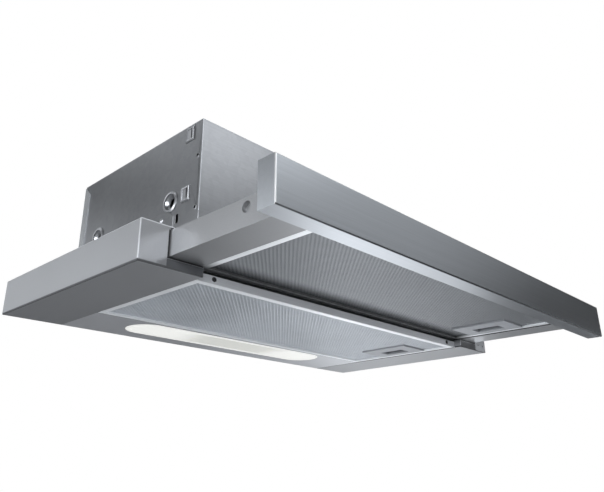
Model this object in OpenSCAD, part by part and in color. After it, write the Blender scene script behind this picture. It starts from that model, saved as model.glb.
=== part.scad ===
// Pull-out range hood, drawn with its visor pulled out.
// Bench axes: X to the right, Y from the front of the base to its back, Z up from its underside.
// bench() moves them, so that the origin is the middle of the duct collar, where the duct meets its flange.

/* [Hood] */
// Overall width of the hood
hood_w = 598; // [590:1:620]
// Width of each side cap
cap_w = 70; // [68:0.5:76]
// Depth of the base, front to back
base_d = 272; // [268:1:290]
// Height of the base and of the fascia
base_h = 39; // [38.5:0.5:42]
// Length of the visor arms that stays in the base
arm_hold = 125; // [120:1:140]

/* [Sheet and walls] */
// Wall of the moulded side caps
cap_wall = 1.5; // [1.2:0.1:1.6]
// Radius on the outer edges of the side caps
cap_round = 1.2; // [0.5:0.1:2]
// Sheet of the base and of the visor
sheet = 1; // [0.8:0.1:1.2]
// Sheet of the blower housing
shell_t = 1; // [0.8:0.1:1.2]

/* [Base] */
// Height of the ledge that runs under each visor arm
ledge_h = 9.6; // [9.4:0.1:10]
// Depth of the top flange of the front beam
beam_d = 6; // [4:0.5:10]
// Distance from the base front to the front beam
beam_y = 10; // [8:0.5:10]
// Depth of the lamp bay at the back of the base
lamp_bay = 84.7; // [80:0.1:90]
// Height of the front lip of the base top
lip_h = 2.4; // [1.6:0.1:2.6]

/* [Fascia and visor] */
// Thickness of the fascia
fascia_t = 18; // [15:0.5:24]
// Width of each visor arm
arm_w = 38.3; // [34:0.1:39]
// Wall of the visor arms
arm_t = 1.2; // [1:0.1:1.5]
// Depth of the rail behind the visor filter
rail_d = 26; // [16:1:28]
// Radius of the round hole in each arm
arm_hole_r = 5; // [3:0.5:7]

/* [Filters] */
// Thickness of a grease filter
filter_h = 6.5; // [6:0.1:6.8]
// Width of the filter rim
strip = 7; // [6:0.5:10]
// Thickness of the filter rim
rim_t = 2; // [1.6:0.1:2.2]
// Pitch of the ridges of the filter face
ridge_pitch = 7.2; // [6:0.2:12]
// Width of the latch plate, across the hood
latch_w = 51; // [46:1:60]
// Length of the latch plate, front to back
latch_l = 73; // [66:1:80]
// Travel of a latch
latch_travel = 5; // [3:0.5:5]

/* [Blower housing] */
// Distance from the side caps to the sides of the blower housing
housing_side = 9.4; // [4:0.1:20]
// Height of the blower housing above the base
housing_h = 144.8; // [144:0.1:150]
// Distance from the base front to the housing front
housing_y = 25.8; // [20:0.1:26]
// Gap between the housing back and the base back
housing_gap = 2; // [0:0.5:2.5]

/* [Duct] */
// Outer radius of the duct collar
duct_r = 60; // [55:0.5:62]
// Wall of the duct collar
duct_t = 1.5; // [1.2:0.1:2]
// Height of the duct collar above the housing
duct_h = 19; // [16:1:30]

/* [Blower] */
// Width of the impeller
fan_w = 110; // [90:1:112]
// Number of blades
blades = 30; // [20:1:36]
// Radius of the motor
motor_r = 30; // [26:0.5:31]
// Radius of the shaft
shaft_r = 4; // [3:0.5:5]

/* [Lamp] */
// Length of the lens
lens_l = 318; // [280:1:330]
// Width of the lens
lens_w = 43; // [38:1:46]
// Radius of a bulb
bulb_r = 10; // [8:0.5:10.5]

/* [Hidden] */
$fn = 48;

// Overrun of every cut past the face that it opens
over = 1;
// Seam between fixed neighbours that don't touch
seam = 0.3;
// Clearance of a running fit
fit = 0.05;
// Clearance between the visor arms and the caps
arm_gap = 0.3;

// Base places
half_w = hood_w / 2;
cap_in = half_w - cap_w;
travel = base_d - arm_hold;
part_y = base_d - lamp_bay;
arm_x0 = cap_in + arm_gap;
arm_x1 = arm_x0 + arm_w;
mouth_x = arm_x1 + seam;
runner_w = 12.4;
web_x = arm_x1 + runner_w;
arm_lift = 1;
arm_head = 0.9;
arm_z = ledge_h + arm_lift;
flange_z = base_h - cap_wall - sheet;
visor_z1 = flange_z - arm_head;
inner_y = base_d - cap_wall;
intake_side = 29;
intake_x = cap_in - intake_side;
intake_y0 = 40;
intake_back = 7.3;
intake_y1 = part_y - intake_back;

// Screws
screw_r = 1.5;
screw_head_r = 3.2;
screw_head_h = 1.6;
cap_screw_x = (arm_x1 + web_x) / 2;
cap_screw_grip = 2;
cap_screw_l = cap_wall + sheet + cap_screw_grip;
cap_screw_inset = 30;

// Two pin holes in the front of the right cap
cap_pin_r = 1.1;
cap_pin_z = 8.4;
cap_pin_side = 7.7;
cap_pin_pitch = 12.7;
cap_pin_x = [half_w - cap_pin_side - cap_pin_pitch, half_w - cap_pin_side];

// Front beam and its slots
beam_gap = 0.5;
beam_h = filter_h + beam_gap + sheet;
beam_slot_inset = 21;
beam_slot_x = cap_in - beam_slot_inset;
beam_slot_z = 4.5;
beam_slot_r = 1.4;
beam_slot_l = 2.2;

// Filters
filter_gap = 0.7;
filter_x = cap_in - filter_gap;
filter_sheet = 0.8;
pivot_r = 0.9;
pivot_inset = 1;
pivot_x = pivot_inset - filter_x;
pivot_z = 1.3;
pivot_tip = 1.2;
base_filter_y = beam_y + sheet + seam;
part_gap = 0.4;
base_filter_d = part_y - part_gap - base_filter_y;
mesh_gap = 0.2;
mesh_inset = filter_sheet + mesh_gap;
mesh_t = 0.5;
mesh_rise = 0.5;
layer_gap = 0.1;
core_z0 = rim_t + mesh_t + mesh_rise + layer_gap;
core_z1 = filter_h - filter_sheet - layer_gap;
latch_x1 = filter_x - strip;
latch_x0 = latch_x1 - latch_w;
latch_in = filter_x - filter_sheet;
base_latch_y = 92.5;
base_latch_c = base_latch_y - base_filter_y;
window_w = 20;
window_l = 37;
window_inset = 11.3;
window_x = latch_x1 - window_inset - window_w;
slide_w = 31;
slide_l = 44.4;
slide_inset = 9.7;
slide_x = latch_x0 + slide_inset + latch_travel;
slide_t = 2.2;
slide_gap = 0.2;
slide_z0 = rim_t + slide_gap;
slide_z1 = slide_z0 + slide_t;
recess_inset = 2;
tongue_l = 17;
tongue_gap = 0.1;
keeper_gap = 0.5;
plate_gap = 0.5;

// Visor
visor_gap = 0.2;
fascia_back = -travel - visor_gap;
fascia_skin = 1.2;
fascia_lip = 11;
fascia_round = 0.8;
arm_end_gap = 1;
arm_y1 = inner_y - travel - arm_end_gap;
visor_lift = 0.4;
visor_filter_z = arm_z + visor_lift;
visor_filter_y = fascia_back + sheet + seam;
visor_beam_gap = 0.6;
visor_filter_d = beam_y - visor_beam_gap - visor_filter_y;
visor_latch_y = -58;
visor_latch_c = visor_latch_y - visor_filter_y;
rail_gap = 0.2;
rail_y = beam_y + rail_gap;
rail_lip = 5;
rail_drop = 0.1;
arm_hole_inset = 46.7;
arm_hole_y = fascia_back + arm_hole_inset;
arm_cup = 3;
arm_cup_t = 0.8;
arm_hole_drop = 8.2;
arm_hole_z = visor_z1 - arm_hole_drop;
visor_screw_z = visor_z1 - arm_t - screw_head_r - seam;
visor_screw_shares = [-0.26, -0.02, 0.26];

// Controls
control_w = 70;
control_side = 11;
control_x1 = cap_in - control_side;
control_x0 = control_x1 - control_w;
control_inset = 3.8;
control_y0 = fascia_back + control_inset;
control_d = 26;
control_gap = 2.1;
control_z0 = visor_filter_z + filter_h + control_gap;
control_wall = 1.5;
control_recess = 3.6;
control_flange = 2;
control_c = control_y0 + control_d / 2;
knob_d = 10;
knob_h = 3.6;
stem_d = 3;
slot_gap = 0.4;
speed_inset = 13;
speed_x = control_x0 + speed_inset;
speed_w = 10;
speed_travel = 21;
lamp_inset = 49;
lamp_x = control_x0 + lamp_inset;
lamp_w = 8;
lamp_travel = 8;
stem_w = 4;

// Runners
race_t = 1.2;
runner_lift = 4.4;
runner_z0 = arm_z + runner_lift;
runner_top = 2.6;
runner_h = visor_z1 - runner_top - runner_z0;
runner_inset = 2.5;
runner_y0 = cap_wall + runner_inset;
runner_y1 = inner_y - cap_wall;
inner_y1 = arm_y1 - cap_wall;
ball_r = 1.6;
ball_inset = 6.4;
ball_x = arm_x1 + ball_inset;
race_reach = 3;
race_x = ball_x + race_reach;
ball_z0 = runner_z0 + race_t + ball_r + fit;
ball_z1 = runner_z0 + runner_h - race_t - ball_r - fit;
cage_t = 0.6;
cage_end = 0.5;
cage_y0 = runner_y0 + travel / 2 + cage_end;
cage_y1 = inner_y1 - cage_end;
cage_gap = 0.6;
cage_x1 = web_x - race_t - cage_gap;
cage_reach = 3;
balls = 4;

// Lamp
panel_y0 = part_y + sheet;
panel_y1 = base_d - sheet;
panel_edge = 6;
panel_gap = 0.5;
lens_inset = 52.5;
lens_y = base_d - lens_inset;
lens_x = -3;
lens_t = 1.2;
lens_rim = 3;
lens_gap = 0.2;
reflector_t = 0.8;
reflector_gap = 1;
reflector_top = 4;
reflector_h = base_h - 2 * sheet - reflector_top;
lamp_z = sheet + (lens_t + reflector_h) / 2;
holder_x0 = 36;
holder_x1 = 58;
holder_r = 11;
holder_floor = 4;
holder_foot = 6;
cap_r = 6;
cap_gap = 0.3;
bulb_x0 = 60;
bulb_l = 68;

// Blower housing
housing_x = cap_in - housing_side;
back_y = base_d - housing_gap - shell_t;
top_z = base_h + housing_h;
shell_z1 = top_z - shell_t;
shell_fold = 12;
shell_screw_grip = 4;
back_fold = 11;
back_fold_drop = 1.8;
back_fold_z = shell_z1 - back_fold_drop;
back_chamfer = 10;
boss_r = 12;
boss_hole_r = 6.5;
boss_depth = 4;
boss_lift = 62.5;
boss_front_y = 75;
boss_rear_inset = 48;
boss_front = [boss_front_y, base_h + boss_lift];
boss_rear = [base_d - boss_rear_inset, base_h + boss_lift];
tab_upper_y = 46.5;
tab_upper_drop = 11.8;
tab_upper = [tab_upper_y, top_z - tab_upper_drop];
tab_lower_y = 49;
tab_lower_lift = 63.5;
tab_lower = [tab_lower_y, base_h + tab_lower_lift];
tab_w = 13;
tab_h = 17;
tab_in = 4;
tab_gap = 2;
rim_w = 1;
rim_up = 0.5;
rim_root = 0.3;
boss_dish = 9.5;
peep_y = 32;
peep_r = 1.6;
peep_lifts = [44, 103];
rear_peep_inset = 9;
rear_peep_lift = 103;
slot_y = 62;
slot_lift = 40;
slot_w = 4.6;
slot_h = 10;
// Raised panel round the lower fixing holes, with its dimple
panel_up = 0.8;
panel_lift = 53.6;
panel_ahead = 7;
panel_corner_y = 12;
panel_corner_z = 8.6;
dimple_r = 2.2;
dimple_y = 88.4;
dimple_lift = 44.2;

// Blower
fan_clear = 20.4;
fan_r = housing_h / 2 - fan_clear;
scroll_t = 1.2;
scroll_gap = 5;
scroll_spread = 27;
scroll_low_share = 0.75;
scroll_front_share = 0.4;
scroll_front_gap = 1.2;
scroll_start = fan_r + scroll_gap;
scroll_end = scroll_start + scroll_spread;
tongue_share = 1 / 6;
scroll_step_share = 1 / 30;
scroll_side_gap = 5;
scroll_w = fan_w + 2 * scroll_side_gap;
scroll_half = scroll_w / 2;
fan_y = housing_y + shell_t + scroll_front_gap + scroll_t + scroll_start + scroll_spread * scroll_front_share;
fan_z = base_h + sheet + scroll_start + scroll_spread * scroll_low_share + scroll_t;
duct_y = fan_y + (scroll_start * cos(360 * tongue_share) + scroll_end) / 2;
duct_in = duct_r - duct_t;
knee = 20;
inlet_lap = 12;
inlet_r = fan_r - inlet_lap;
inlet_bell = 4;
blade_depth = 10.5;
blade_in = fan_r - blade_depth;
blade_seat = 0.5;
blade_t = 0.9;
blade_r = 6.6;
blade_side = 4.6;
fan_disc = 2;
fan_ring = 2;
hub_r = 9;
hub_w = 16;
motor_x0 = 10;
motor_x1 = scroll_half;
motor_cap_w = 5;
motor_can_t = 2;
bearing_r = 8;
rotor_r = 16;
rotor_gap = 0.5;
rotor_inset = 1;
stack_x0 = 20;
stack_x1 = 50;
shaft_x0 = -14;
shaft_tip = 0.5;
bracket_t = 3;
bracket_ring = 8;
bracket_arm = 8;
bracket_wall = 3;

// Duct collar and flap
duct_flange = 9;
duct_flange_t = 2;
seat_w = 3.5;
seat_t = 1.2;
pin_r = 1.5;
pin_lift = 3.2;
pin_z = top_z + duct_flange_t + pin_lift;
flap_t = 1;
flap_z = top_z + duct_flange_t + seat_t + seam;
flap_gap = 0.6;
knuckle_r = 2.4;
knuckle_w = 16;
knuckle_gap = 0.5;
knuckles = 6;
knuckle_clear = 3;

// Wiring pieces
capacitor_r = 15;
capacitor_h = 55;
lug_t = 0.8;
capacitor_side = 59.6;
capacitor_back = 44;
capacitor_x = housing_x - capacitor_side;
capacitor_y = back_y - capacitor_back;
box_w = 70;
box_d = 50;
box_side = 34.6;
box_back = 29;
box_x0 = box_side - housing_x;
box_y0 = back_y - box_back - box_d;
box_h = 43;
box_wall = 2;
gland_x = box_x0 + box_w / 2;
gland_y = box_y0 + box_d / 2;
gland_r = 6.5;
gland_bore = 3.6;
gland_nut_r = 9;
gland_nut_h = 6;
gland_up = 11;
gland_down = 8;

// Moves bench axes to the middle of the duct collar, where the duct meets its flange
module bench() {
    translate([0, -duct_y, -top_z - duct_flange_t]) children();
}

// Draws its children and their mirror image in the middle plane
module both() {
    children();
    mirror([1, 0, 0]) children();
}

// Extrudes an XZ outline from one Y to another
module along_y(y0, y1) {
    translate([0, y1, 0]) rotate([90, 0, 0]) linear_extrude(y1 - y0) children();
}

// Extrudes a YZ outline from one X to another
module along_x(x0, x1) {
    translate([x0, 0, 0]) rotate([90, 0, 90]) linear_extrude(x1 - x0) children();
}

// A box given by its low corner and its high corner
module box(low, high) {
    translate(low) cube(high - low);
}

// A rectangle whose two far corners are rounded
module far_rounded(w, h, r) {
    square([w - r, h]);
    translate([0, r]) square([w, h - 2 * r]);
    translate([w - r, r]) circle(r);
    translate([w - r, h - r]) circle(r);
}

// A strip with round ends, centred
module pill(l, w) {
    square([l - w, w], center = true);
    for (side = [-1, 1]) translate([side * (l - w) / 2, 0]) circle(w / 2);
}

// A pan-head screw that points down, its head standing on z = 0
module screw(l) {
    cylinder(r = screw_head_r, h = screw_head_h);
    translate([0, 0, -l]) cylinder(r = screw_r, h = l + screw_head_h / 2);
}

// Side caps
module cap_screw_places() {
    for (y = [cap_screw_inset, base_d / 2, base_d - cap_screw_inset])
        translate([cap_screw_x, y, base_h]) children();
}

module side_cap() {
    roof = base_h - cap_wall;
    difference() {
        along_y(0, base_d) translate([cap_in, 0]) far_rounded(cap_w, base_h, cap_round);
        along_y(cap_wall, inner_y) translate([cap_in + cap_wall, cap_wall])
            square([cap_w - 2 * cap_wall, ledge_h - 2 * cap_wall]);
        along_y(cap_wall, inner_y) translate([cap_in - over, ledge_h])
            square([web_x - cap_in + over, roof - ledge_h]);
        along_y(-over, cap_wall + over) translate([cap_in - over, ledge_h])
            square([mouth_x - cap_in + over, roof - ledge_h]);
        along_y(cap_wall, inner_y) translate([web_x + cap_wall, ledge_h])
            square([half_w - web_x - 2 * cap_wall, roof - ledge_h]);
        cap_screw_places() translate([0, 0, -cap_wall - over])
            cylinder(r = screw_r + fit, h = cap_wall + 2 * over);
    }
}

module side_cap_left() {
    color("#a5a7ac") bench() mirror([1, 0, 0]) side_cap();
}

module side_cap_right() {
    color("#a5a7ac") bench() difference() {
        side_cap();
        for (x = cap_pin_x) translate([x, 0, cap_pin_z]) rotate([90, 0, 0])
            cylinder(r = cap_pin_r, h = 2 * cap_wall + over, center = true);
        // window that the latch tongue faces
        box([cap_in - over, base_latch_y - tongue_l / 2 - keeper_gap, slide_z0 - keeper_gap],
            [cap_in + cap_wall + over, base_latch_y + tongue_l / 2 + keeper_gap, slide_z1 + keeper_gap]);
    }
}

module cap_screws() {
    color("#8f9296") bench() both() cap_screw_places() screw(cap_screw_l);
}

// Base
module base_frame() {
    color("#8a8d91") bench() difference() {
        union() {
            box([-cap_in, 0, base_h - sheet], [cap_in, base_d, base_h]);
            box([-cap_in, 0, base_h - lip_h], [cap_in, sheet, base_h]);
            box([-cap_in, base_d - sheet, 0], [cap_in, base_d, base_h]);
            box([-cap_in, part_y, 0], [cap_in, part_y + sheet, base_h]);
            both() box([cap_in - sheet, cap_wall + seam, flange_z], [cap_in, inner_y - seam, base_h]);
            both() box([cap_in - sheet, cap_wall + seam, flange_z],
                [web_x - seam, inner_y - seam, flange_z + sheet]);
        }
        box([-intake_x, intake_y0, base_h - sheet - over], [intake_x, intake_y1, base_h + over]);
        both() cap_screw_places() translate([0, 0, -cap_wall - sheet - over])
            cylinder(r = screw_r + fit, h = cap_wall + sheet + 2 * over);
        // rear pivot of the base filter
        along_y(part_y - over, part_y + sheet + over) translate([pivot_x, pivot_z]) circle(pivot_r + fit);
    }
}

module front_beam() {
    color("#7d7f82") bench() difference() {
        along_x(-cap_in, cap_in) union() {
            translate([beam_y, 0]) square([sheet, beam_h]);
            translate([beam_y, beam_h - sheet]) square([beam_d, sheet]);
        }
        along_y(beam_y - over, beam_y + sheet + over) {
            for (side = [-1, 1]) translate([side * beam_slot_x, beam_slot_z])
                rotate(90) pill(beam_slot_l + 2 * beam_slot_r, 2 * beam_slot_r);
            translate([pivot_x, pivot_z]) circle(pivot_r + fit);
        }
    }
}

// Lamp
module lamp_panel() {
    x = cap_in - panel_gap;
    color("#8a8d91") bench() difference() {
        box([-x, panel_y0, 0], [x, panel_y1, panel_edge]);
        box([-x + sheet, panel_y0 + sheet, sheet], [x - sheet, panel_y1 - sheet, panel_edge + over]);
        translate([lens_x, lens_y, -over]) linear_extrude(sheet + 2 * over) pill(lens_l, lens_w);
    }
}

module lamp_lens() {
    color("#f3f4ea") bench() translate([lens_x, lens_y, 0]) {
        linear_extrude(sheet + lens_t) pill(lens_l - 2 * lens_gap, lens_w - 2 * lens_gap);
        translate([0, 0, sheet]) linear_extrude(lens_t) pill(lens_l + 2 * lens_rim, lens_w + 2 * lens_rim);
    }
}

module lamp_reflector() {
    l = lens_l + 2 * (lens_rim + reflector_gap);
    w = lens_w + 2 * (lens_rim + reflector_gap);
    color("#d9dbdc") bench() translate([lens_x, lens_y, sheet]) difference() {
        linear_extrude(reflector_h) pill(l + 2 * reflector_t, w + 2 * reflector_t);
        translate([0, 0, -over]) linear_extrude(reflector_h - reflector_t + over) pill(l, w);
    }
}

module lamp_holders() {
    roof = sheet + reflector_h - reflector_t;
    color("#e8e4d8") bench() translate([lens_x, lens_y, 0]) both() difference() {
        union() {
            along_x(holder_x0, holder_x1) translate([0, lamp_z]) circle(holder_r);
            box([holder_x0, -holder_foot, lamp_z + holder_r / 2], [holder_x1, holder_foot, roof]);
        }
        along_x(holder_x0 + holder_floor, holder_x1 + over) translate([0, lamp_z]) circle(cap_r + cap_gap);
    }
}

module lamp_bulb() {
    translate([lens_x, lens_y, lamp_z]) rotate([0, 90, 0]) {
        translate([0, 0, holder_x0 + holder_floor])
            cylinder(r = cap_r, h = bulb_x0 - holder_x0 - holder_floor);
        translate([0, 0, bulb_x0]) cylinder(r = bulb_r, h = bulb_l);
        translate([0, 0, bulb_x0 + bulb_l]) rotate_extrude() intersection() {
            circle(bulb_r);
            square(bulb_r);
        }
    }
}

module lamp_bulb_left() {
    color("#fff3d6") bench() translate([2 * lens_x, 0, 0]) mirror([1, 0, 0]) lamp_bulb();
}

module lamp_bulb_right() {
    color("#fff3d6") bench() lamp_bulb();
}

// Blower housing
module housing_screw_places() {
    for (x = [-housing_x + shell_fold / 2 + shell_t, 0, housing_x - shell_fold / 2 - shell_t])
        for (y = [housing_y + shell_t + shell_fold / 2, back_y - shell_fold / 2])
            if (x != 0 || y < duct_y) translate([x, y, top_z]) children();
}

// One side of the housing, with its dished fixing holes and bent tabs, on the left
module side_cuts() {
    along_x(-housing_x - over, -housing_x + shell_t + over) {
        for (place = [boss_front, boss_rear]) translate(place) circle(boss_dish);
        for (place = [tab_upper, tab_lower]) translate(place) square([tab_w, tab_h], center = true);
        translate([dimple_y, base_h + dimple_lift]) circle(dimple_r);
        for (lift = peep_lifts) translate([peep_y, base_h + lift]) circle(peep_r);
        translate([slot_y, base_h + slot_lift]) square([slot_w, slot_h], center = true);
    }
}

// A rim raised round an opening of the left side: first its outline, then the opening's
module rim(place) {
    along_x(-housing_x - rim_up, -housing_x + rim_root) translate(place) difference() {
        children(0);
        children(1);
    }
}

module side_forms() {
    panel_y0 = boss_front_y - panel_ahead;
    panel_y1 = base_d - boss_rear_inset + panel_ahead;
    panel_z = base_h + panel_lift;
    for (place = [boss_front, boss_rear]) translate([-housing_x, place[0], place[1]]) rotate([0, 90, 0])
        rotate_extrude() polygon([
            [boss_hole_r, boss_depth], [boss_hole_r, boss_depth + shell_t],
            [boss_hole_r + shell_t, boss_depth + shell_t], [boss_dish + shell_t, shell_t],
            [boss_r, shell_t], [boss_r, -rim_up], [boss_dish + rim_up, -rim_up], [boss_dish, 0]
        ]);
    for (place = [tab_upper, tab_lower]) {
        low = place - [tab_w, tab_h] / 2;
        high = place + [tab_w, tab_h] / 2;
        // the tab is bent in from the window's rear edge
        translate([0, 0, low[1] + tab_gap / 2]) linear_extrude(tab_h - tab_gap) polygon([
            [-housing_x, high[0]], [-housing_x, high[0] + rim_root],
            [-housing_x + shell_t, high[0] + rim_root], [-housing_x + shell_t, high[0]],
            [-housing_x + tab_in + shell_t, low[0] + tab_gap], [-housing_x + tab_in, low[0] + tab_gap]
        ]);
        rim(place) {
            square([tab_w + 2 * rim_w, tab_h + 2 * rim_w], center = true);
            square([tab_w, tab_h], center = true);
        }
    }
    for (lift = peep_lifts) rim([peep_y, base_h + lift]) {
        circle(peep_r + rim_w);
        circle(peep_r);
    }
    along_x(-housing_x - panel_up, -housing_x + rim_root) difference() {
        polygon([
            [panel_y0, base_h], [panel_y1, base_h], [panel_y1, panel_z - panel_corner_z],
            [panel_y1 - panel_corner_y, panel_z], [panel_y0 + panel_corner_y, panel_z],
            [panel_y0, panel_z - panel_corner_z]
        ]);
        for (place = [boss_front, boss_rear]) translate(place) circle(boss_r);
        translate([dimple_y, base_h + dimple_lift]) circle(dimple_r);
    }
}

module housing_shell() {
    inner = [-housing_x + shell_t, housing_y + shell_t];
    fold = [-housing_x + shell_t + shell_fold, housing_y + shell_t + shell_fold];
    color("#9a9da1") bench() {
        difference() {
            box([-housing_x, housing_y, base_h], [housing_x, back_y, shell_z1]);
            box([inner[0], inner[1], base_h + shell_t], [-inner[0], back_y + over, shell_z1 - shell_t]);
            box([fold[0], fold[1], base_h - over], [-fold[0], back_y + over, shell_z1 + over]);
            housing_screw_places() translate([0, 0, -2 * shell_t - over])
                cylinder(r = screw_r + fit, h = 2 * shell_t + 2 * over);
            both() side_cuts();
        }
        both() side_forms();
    }
}

module housing_back() {
    color("#8d9094") bench() difference() {
        union() {
            box([-housing_x - shell_t, back_y, base_h], [housing_x + shell_t, back_y + shell_t, back_fold_z]);
            box([-housing_x, back_y, base_h], [housing_x, back_y + shell_t, shell_z1]);
            both() along_x(housing_x, housing_x + shell_t) polygon([
                [back_y - back_fold, base_h], [back_y + shell_t, base_h], [back_y + shell_t, back_fold_z],
                [back_y - back_fold + back_chamfer, back_fold_z],
                [back_y - back_fold, back_fold_z - back_chamfer]
            ]);
        }
        both() along_x(housing_x - over, housing_x + shell_t + over)
            translate([base_d - rear_peep_inset, base_h + rear_peep_lift]) circle(peep_r);
    }
}

module housing_top() {
    color("#a9acb0") bench() difference() {
        box([-housing_x, housing_y, shell_z1], [housing_x, back_y + shell_t, top_z]);
        translate([0, duct_y, shell_z1 - over]) cylinder(r = duct_in, h = shell_t + 2 * over);
        translate([gland_x, gland_y, shell_z1 - over]) cylinder(r = gland_r, h = shell_t + 2 * over);
        housing_screw_places() translate([0, 0, -shell_t - over])
            cylinder(r = screw_r + fit, h = shell_t + 2 * over);
    }
}

module housing_screws() {
    color("#8f9296") bench() housing_screw_places() screw(2 * shell_t + shell_screw_grip);
}

// Duct collar and back-draught flap
module duct_collar() {
    color("#4a4c4f") bench() difference() {
        translate([0, duct_y, top_z]) rotate_extrude() {
            translate([duct_in, 0]) square([duct_t, duct_h]);
            translate([duct_in, 0]) square([duct_t + duct_flange, duct_flange_t]);
            translate([duct_in - seat_w, duct_flange_t]) square([seat_w + duct_t, seat_t]);
        }
        along_x(-duct_r - over, duct_r + over) translate([duct_y, pin_z]) circle(pin_r + fit);
    }
}

module flap_pin() {
    color("#c0c2c4") bench() along_x(-duct_r + seam, duct_r - seam) translate([duct_y, pin_z]) circle(pin_r);
}

// The back leaf of the flap; half a turn makes it the front leaf, whose knuckles fall between these
module flap() {
    first = -knuckles * knuckle_w / 2;
    mine = [for (i = [0 : 2 : knuckles - 1]) first + i * knuckle_w];
    others = [for (i = [1 : 2 : knuckles - 1]) first + i * knuckle_w];
    difference() {
        union() {
            translate([0, 0, flap_z]) linear_extrude(flap_t) intersection() {
                circle(duct_in - flap_gap);
                translate([-duct_r, knuckle_r / 2]) square([2 * duct_r, duct_r]);
            }
            for (x = mine) along_x(x + knuckle_gap / 2, x + knuckle_w - knuckle_gap / 2)
                translate([0, pin_z]) circle(knuckle_r);
        }
        along_x(-duct_r, duct_r) translate([0, pin_z]) circle(pin_r + 2 * fit);
        for (x = others) box([x - knuckle_gap / 2, -over, flap_z - over],
            [x + knuckle_w + knuckle_gap / 2, knuckle_clear, flap_z + flap_t + over]);
    }
}

module flap_front() {
    color("#6d7074") bench() translate([0, duct_y, 0]) rotate([0, 0, 180]) flap();
}

module flap_back() {
    color("#6d7074") bench() translate([0, duct_y, 0]) flap();
}

// Blower
// The scroll's radius and points grow over a share of the turn, from the tongue to the back
function scroll_radius(share) = scroll_start + scroll_spread * (share - tongue_share) / (1 - tongue_share);
function scroll_point(share, wall) = [
    fan_y + (scroll_radius(share) + wall) * cos(360 * share),
    fan_z + (scroll_radius(share) + wall) * sin(360 * share)
];

// The outline of the scroll and its outlet, its walls moved out by wall
module scroll_outline(wall) {
    polygon([for (i = [0 : 25]) scroll_point(tongue_share + i * scroll_step_share, wall)]);
    polygon([
        [fan_y, fan_z], [fan_y + scroll_end + wall, fan_z], [fan_y + scroll_end + wall, fan_z + knee],
        [duct_y + duct_in + wall, shell_z1], [duct_y - duct_in - wall, shell_z1],
        scroll_point(tongue_share, 0) - [wall, 2 * wall]
    ]);
}

module scroll_wrap() {
    color("#b4b7ba") bench() along_x(-scroll_half, scroll_half) difference() {
        scroll_outline(scroll_t);
        intersection() {
            scroll_outline(0);
            translate([0, base_h]) square([base_d, shell_z1 - base_h + over]);
        }
    }
}

// The right side of the scroll, with its rolled inlet
module scroll_side() {
    difference() {
        along_x(scroll_half, scroll_half + scroll_t) scroll_outline(scroll_t);
        along_x(scroll_half - over, scroll_half + scroll_t + over)
            translate([fan_y, fan_z]) circle(inlet_r + inlet_bell);
    }
    translate([scroll_half + scroll_t, fan_y, fan_z]) rotate([0, -90, 0]) rotate_extrude() intersection() {
        translate([inlet_r + inlet_bell, inlet_bell]) difference() {
            circle(inlet_bell);
            circle(inlet_bell - scroll_t);
        }
        translate([inlet_r, 0]) square(inlet_bell);
    }
}

module scroll_side_left() {
    color("#b4b7ba") bench() mirror([1, 0, 0]) scroll_side();
}

module scroll_side_right() {
    color("#b4b7ba") bench() scroll_side();
}

module blade_outline() {
    intersection() {
        difference() {
            circle(fan_r - blade_seat);
            circle(blade_in);
        }
        translate([(fan_r + blade_in) / 2, -blade_side]) difference() {
            circle(blade_r);
            circle(blade_r - blade_t);
        }
        translate([blade_in - over, -blade_side]) square([fan_r - blade_in + over, blade_r + over]);
    }
}

module fan_impeller() {
    color("#3f4245") bench() translate([0, fan_y, fan_z]) rotate([90, 0, 90]) difference() {
        union() {
            translate([0, 0, -fan_w / 2]) linear_extrude(fan_w)
                for (i = [0 : blades - 1]) rotate(i * 360 / blades) blade_outline();
            for (z = [-fan_w / 2, fan_w / 2 - fan_ring]) translate([0, 0, z]) linear_extrude(fan_ring)
                difference() {
                    circle(fan_r);
                    circle(fan_r - 2 * fan_ring);
                }
            translate([0, 0, -fan_disc / 2]) cylinder(r = fan_r, h = fan_disc);
            translate([0, 0, -hub_w / 2]) cylinder(r = hub_r, h = hub_w);
        }
        translate([0, 0, -hub_w]) cylinder(r = shaft_r, h = 2 * hub_w);
    }
}

module motor_shaft() {
    color("#c9cbcc") bench() along_x(shaft_x0, motor_x1 + motor_cap_w + shaft_tip)
        translate([fan_y, fan_z]) circle(shaft_r);
}

module motor_rotor() {
    color("#75787b") bench() along_x(stack_x0 + rotor_inset, stack_x1 - rotor_inset)
        translate([fan_y, fan_z]) difference() {
            circle(rotor_r);
            circle(shaft_r);
        }
}

module motor_stator() {
    color("#55585b") bench() translate([0, fan_y, fan_z]) rotate([90, 0, 90]) rotate_extrude() {
        translate([bearing_r, motor_x0]) square([motor_r - bearing_r, motor_cap_w]);
        translate([motor_r - motor_can_t, motor_x0]) square([motor_can_t, motor_x1 - motor_x0]);
        translate([rotor_r + rotor_gap, stack_x0])
            square([motor_r - rotor_r - rotor_gap, stack_x1 - stack_x0]);
    }
}

module motor_end_cap() {
    color("#6a6d70") bench() along_x(motor_x1, motor_x1 + motor_cap_w)
        translate([fan_y, fan_z]) difference() {
            circle(motor_r);
            circle(bearing_r);
        }
}

module motor_bearings() {
    color("#d0d1d2") bench() for (x = [motor_x0, motor_x1])
        along_x(x, x + motor_cap_w) translate([fan_y, fan_z]) difference() {
            circle(bearing_r);
            circle(shaft_r + fit);
        }
}

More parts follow.
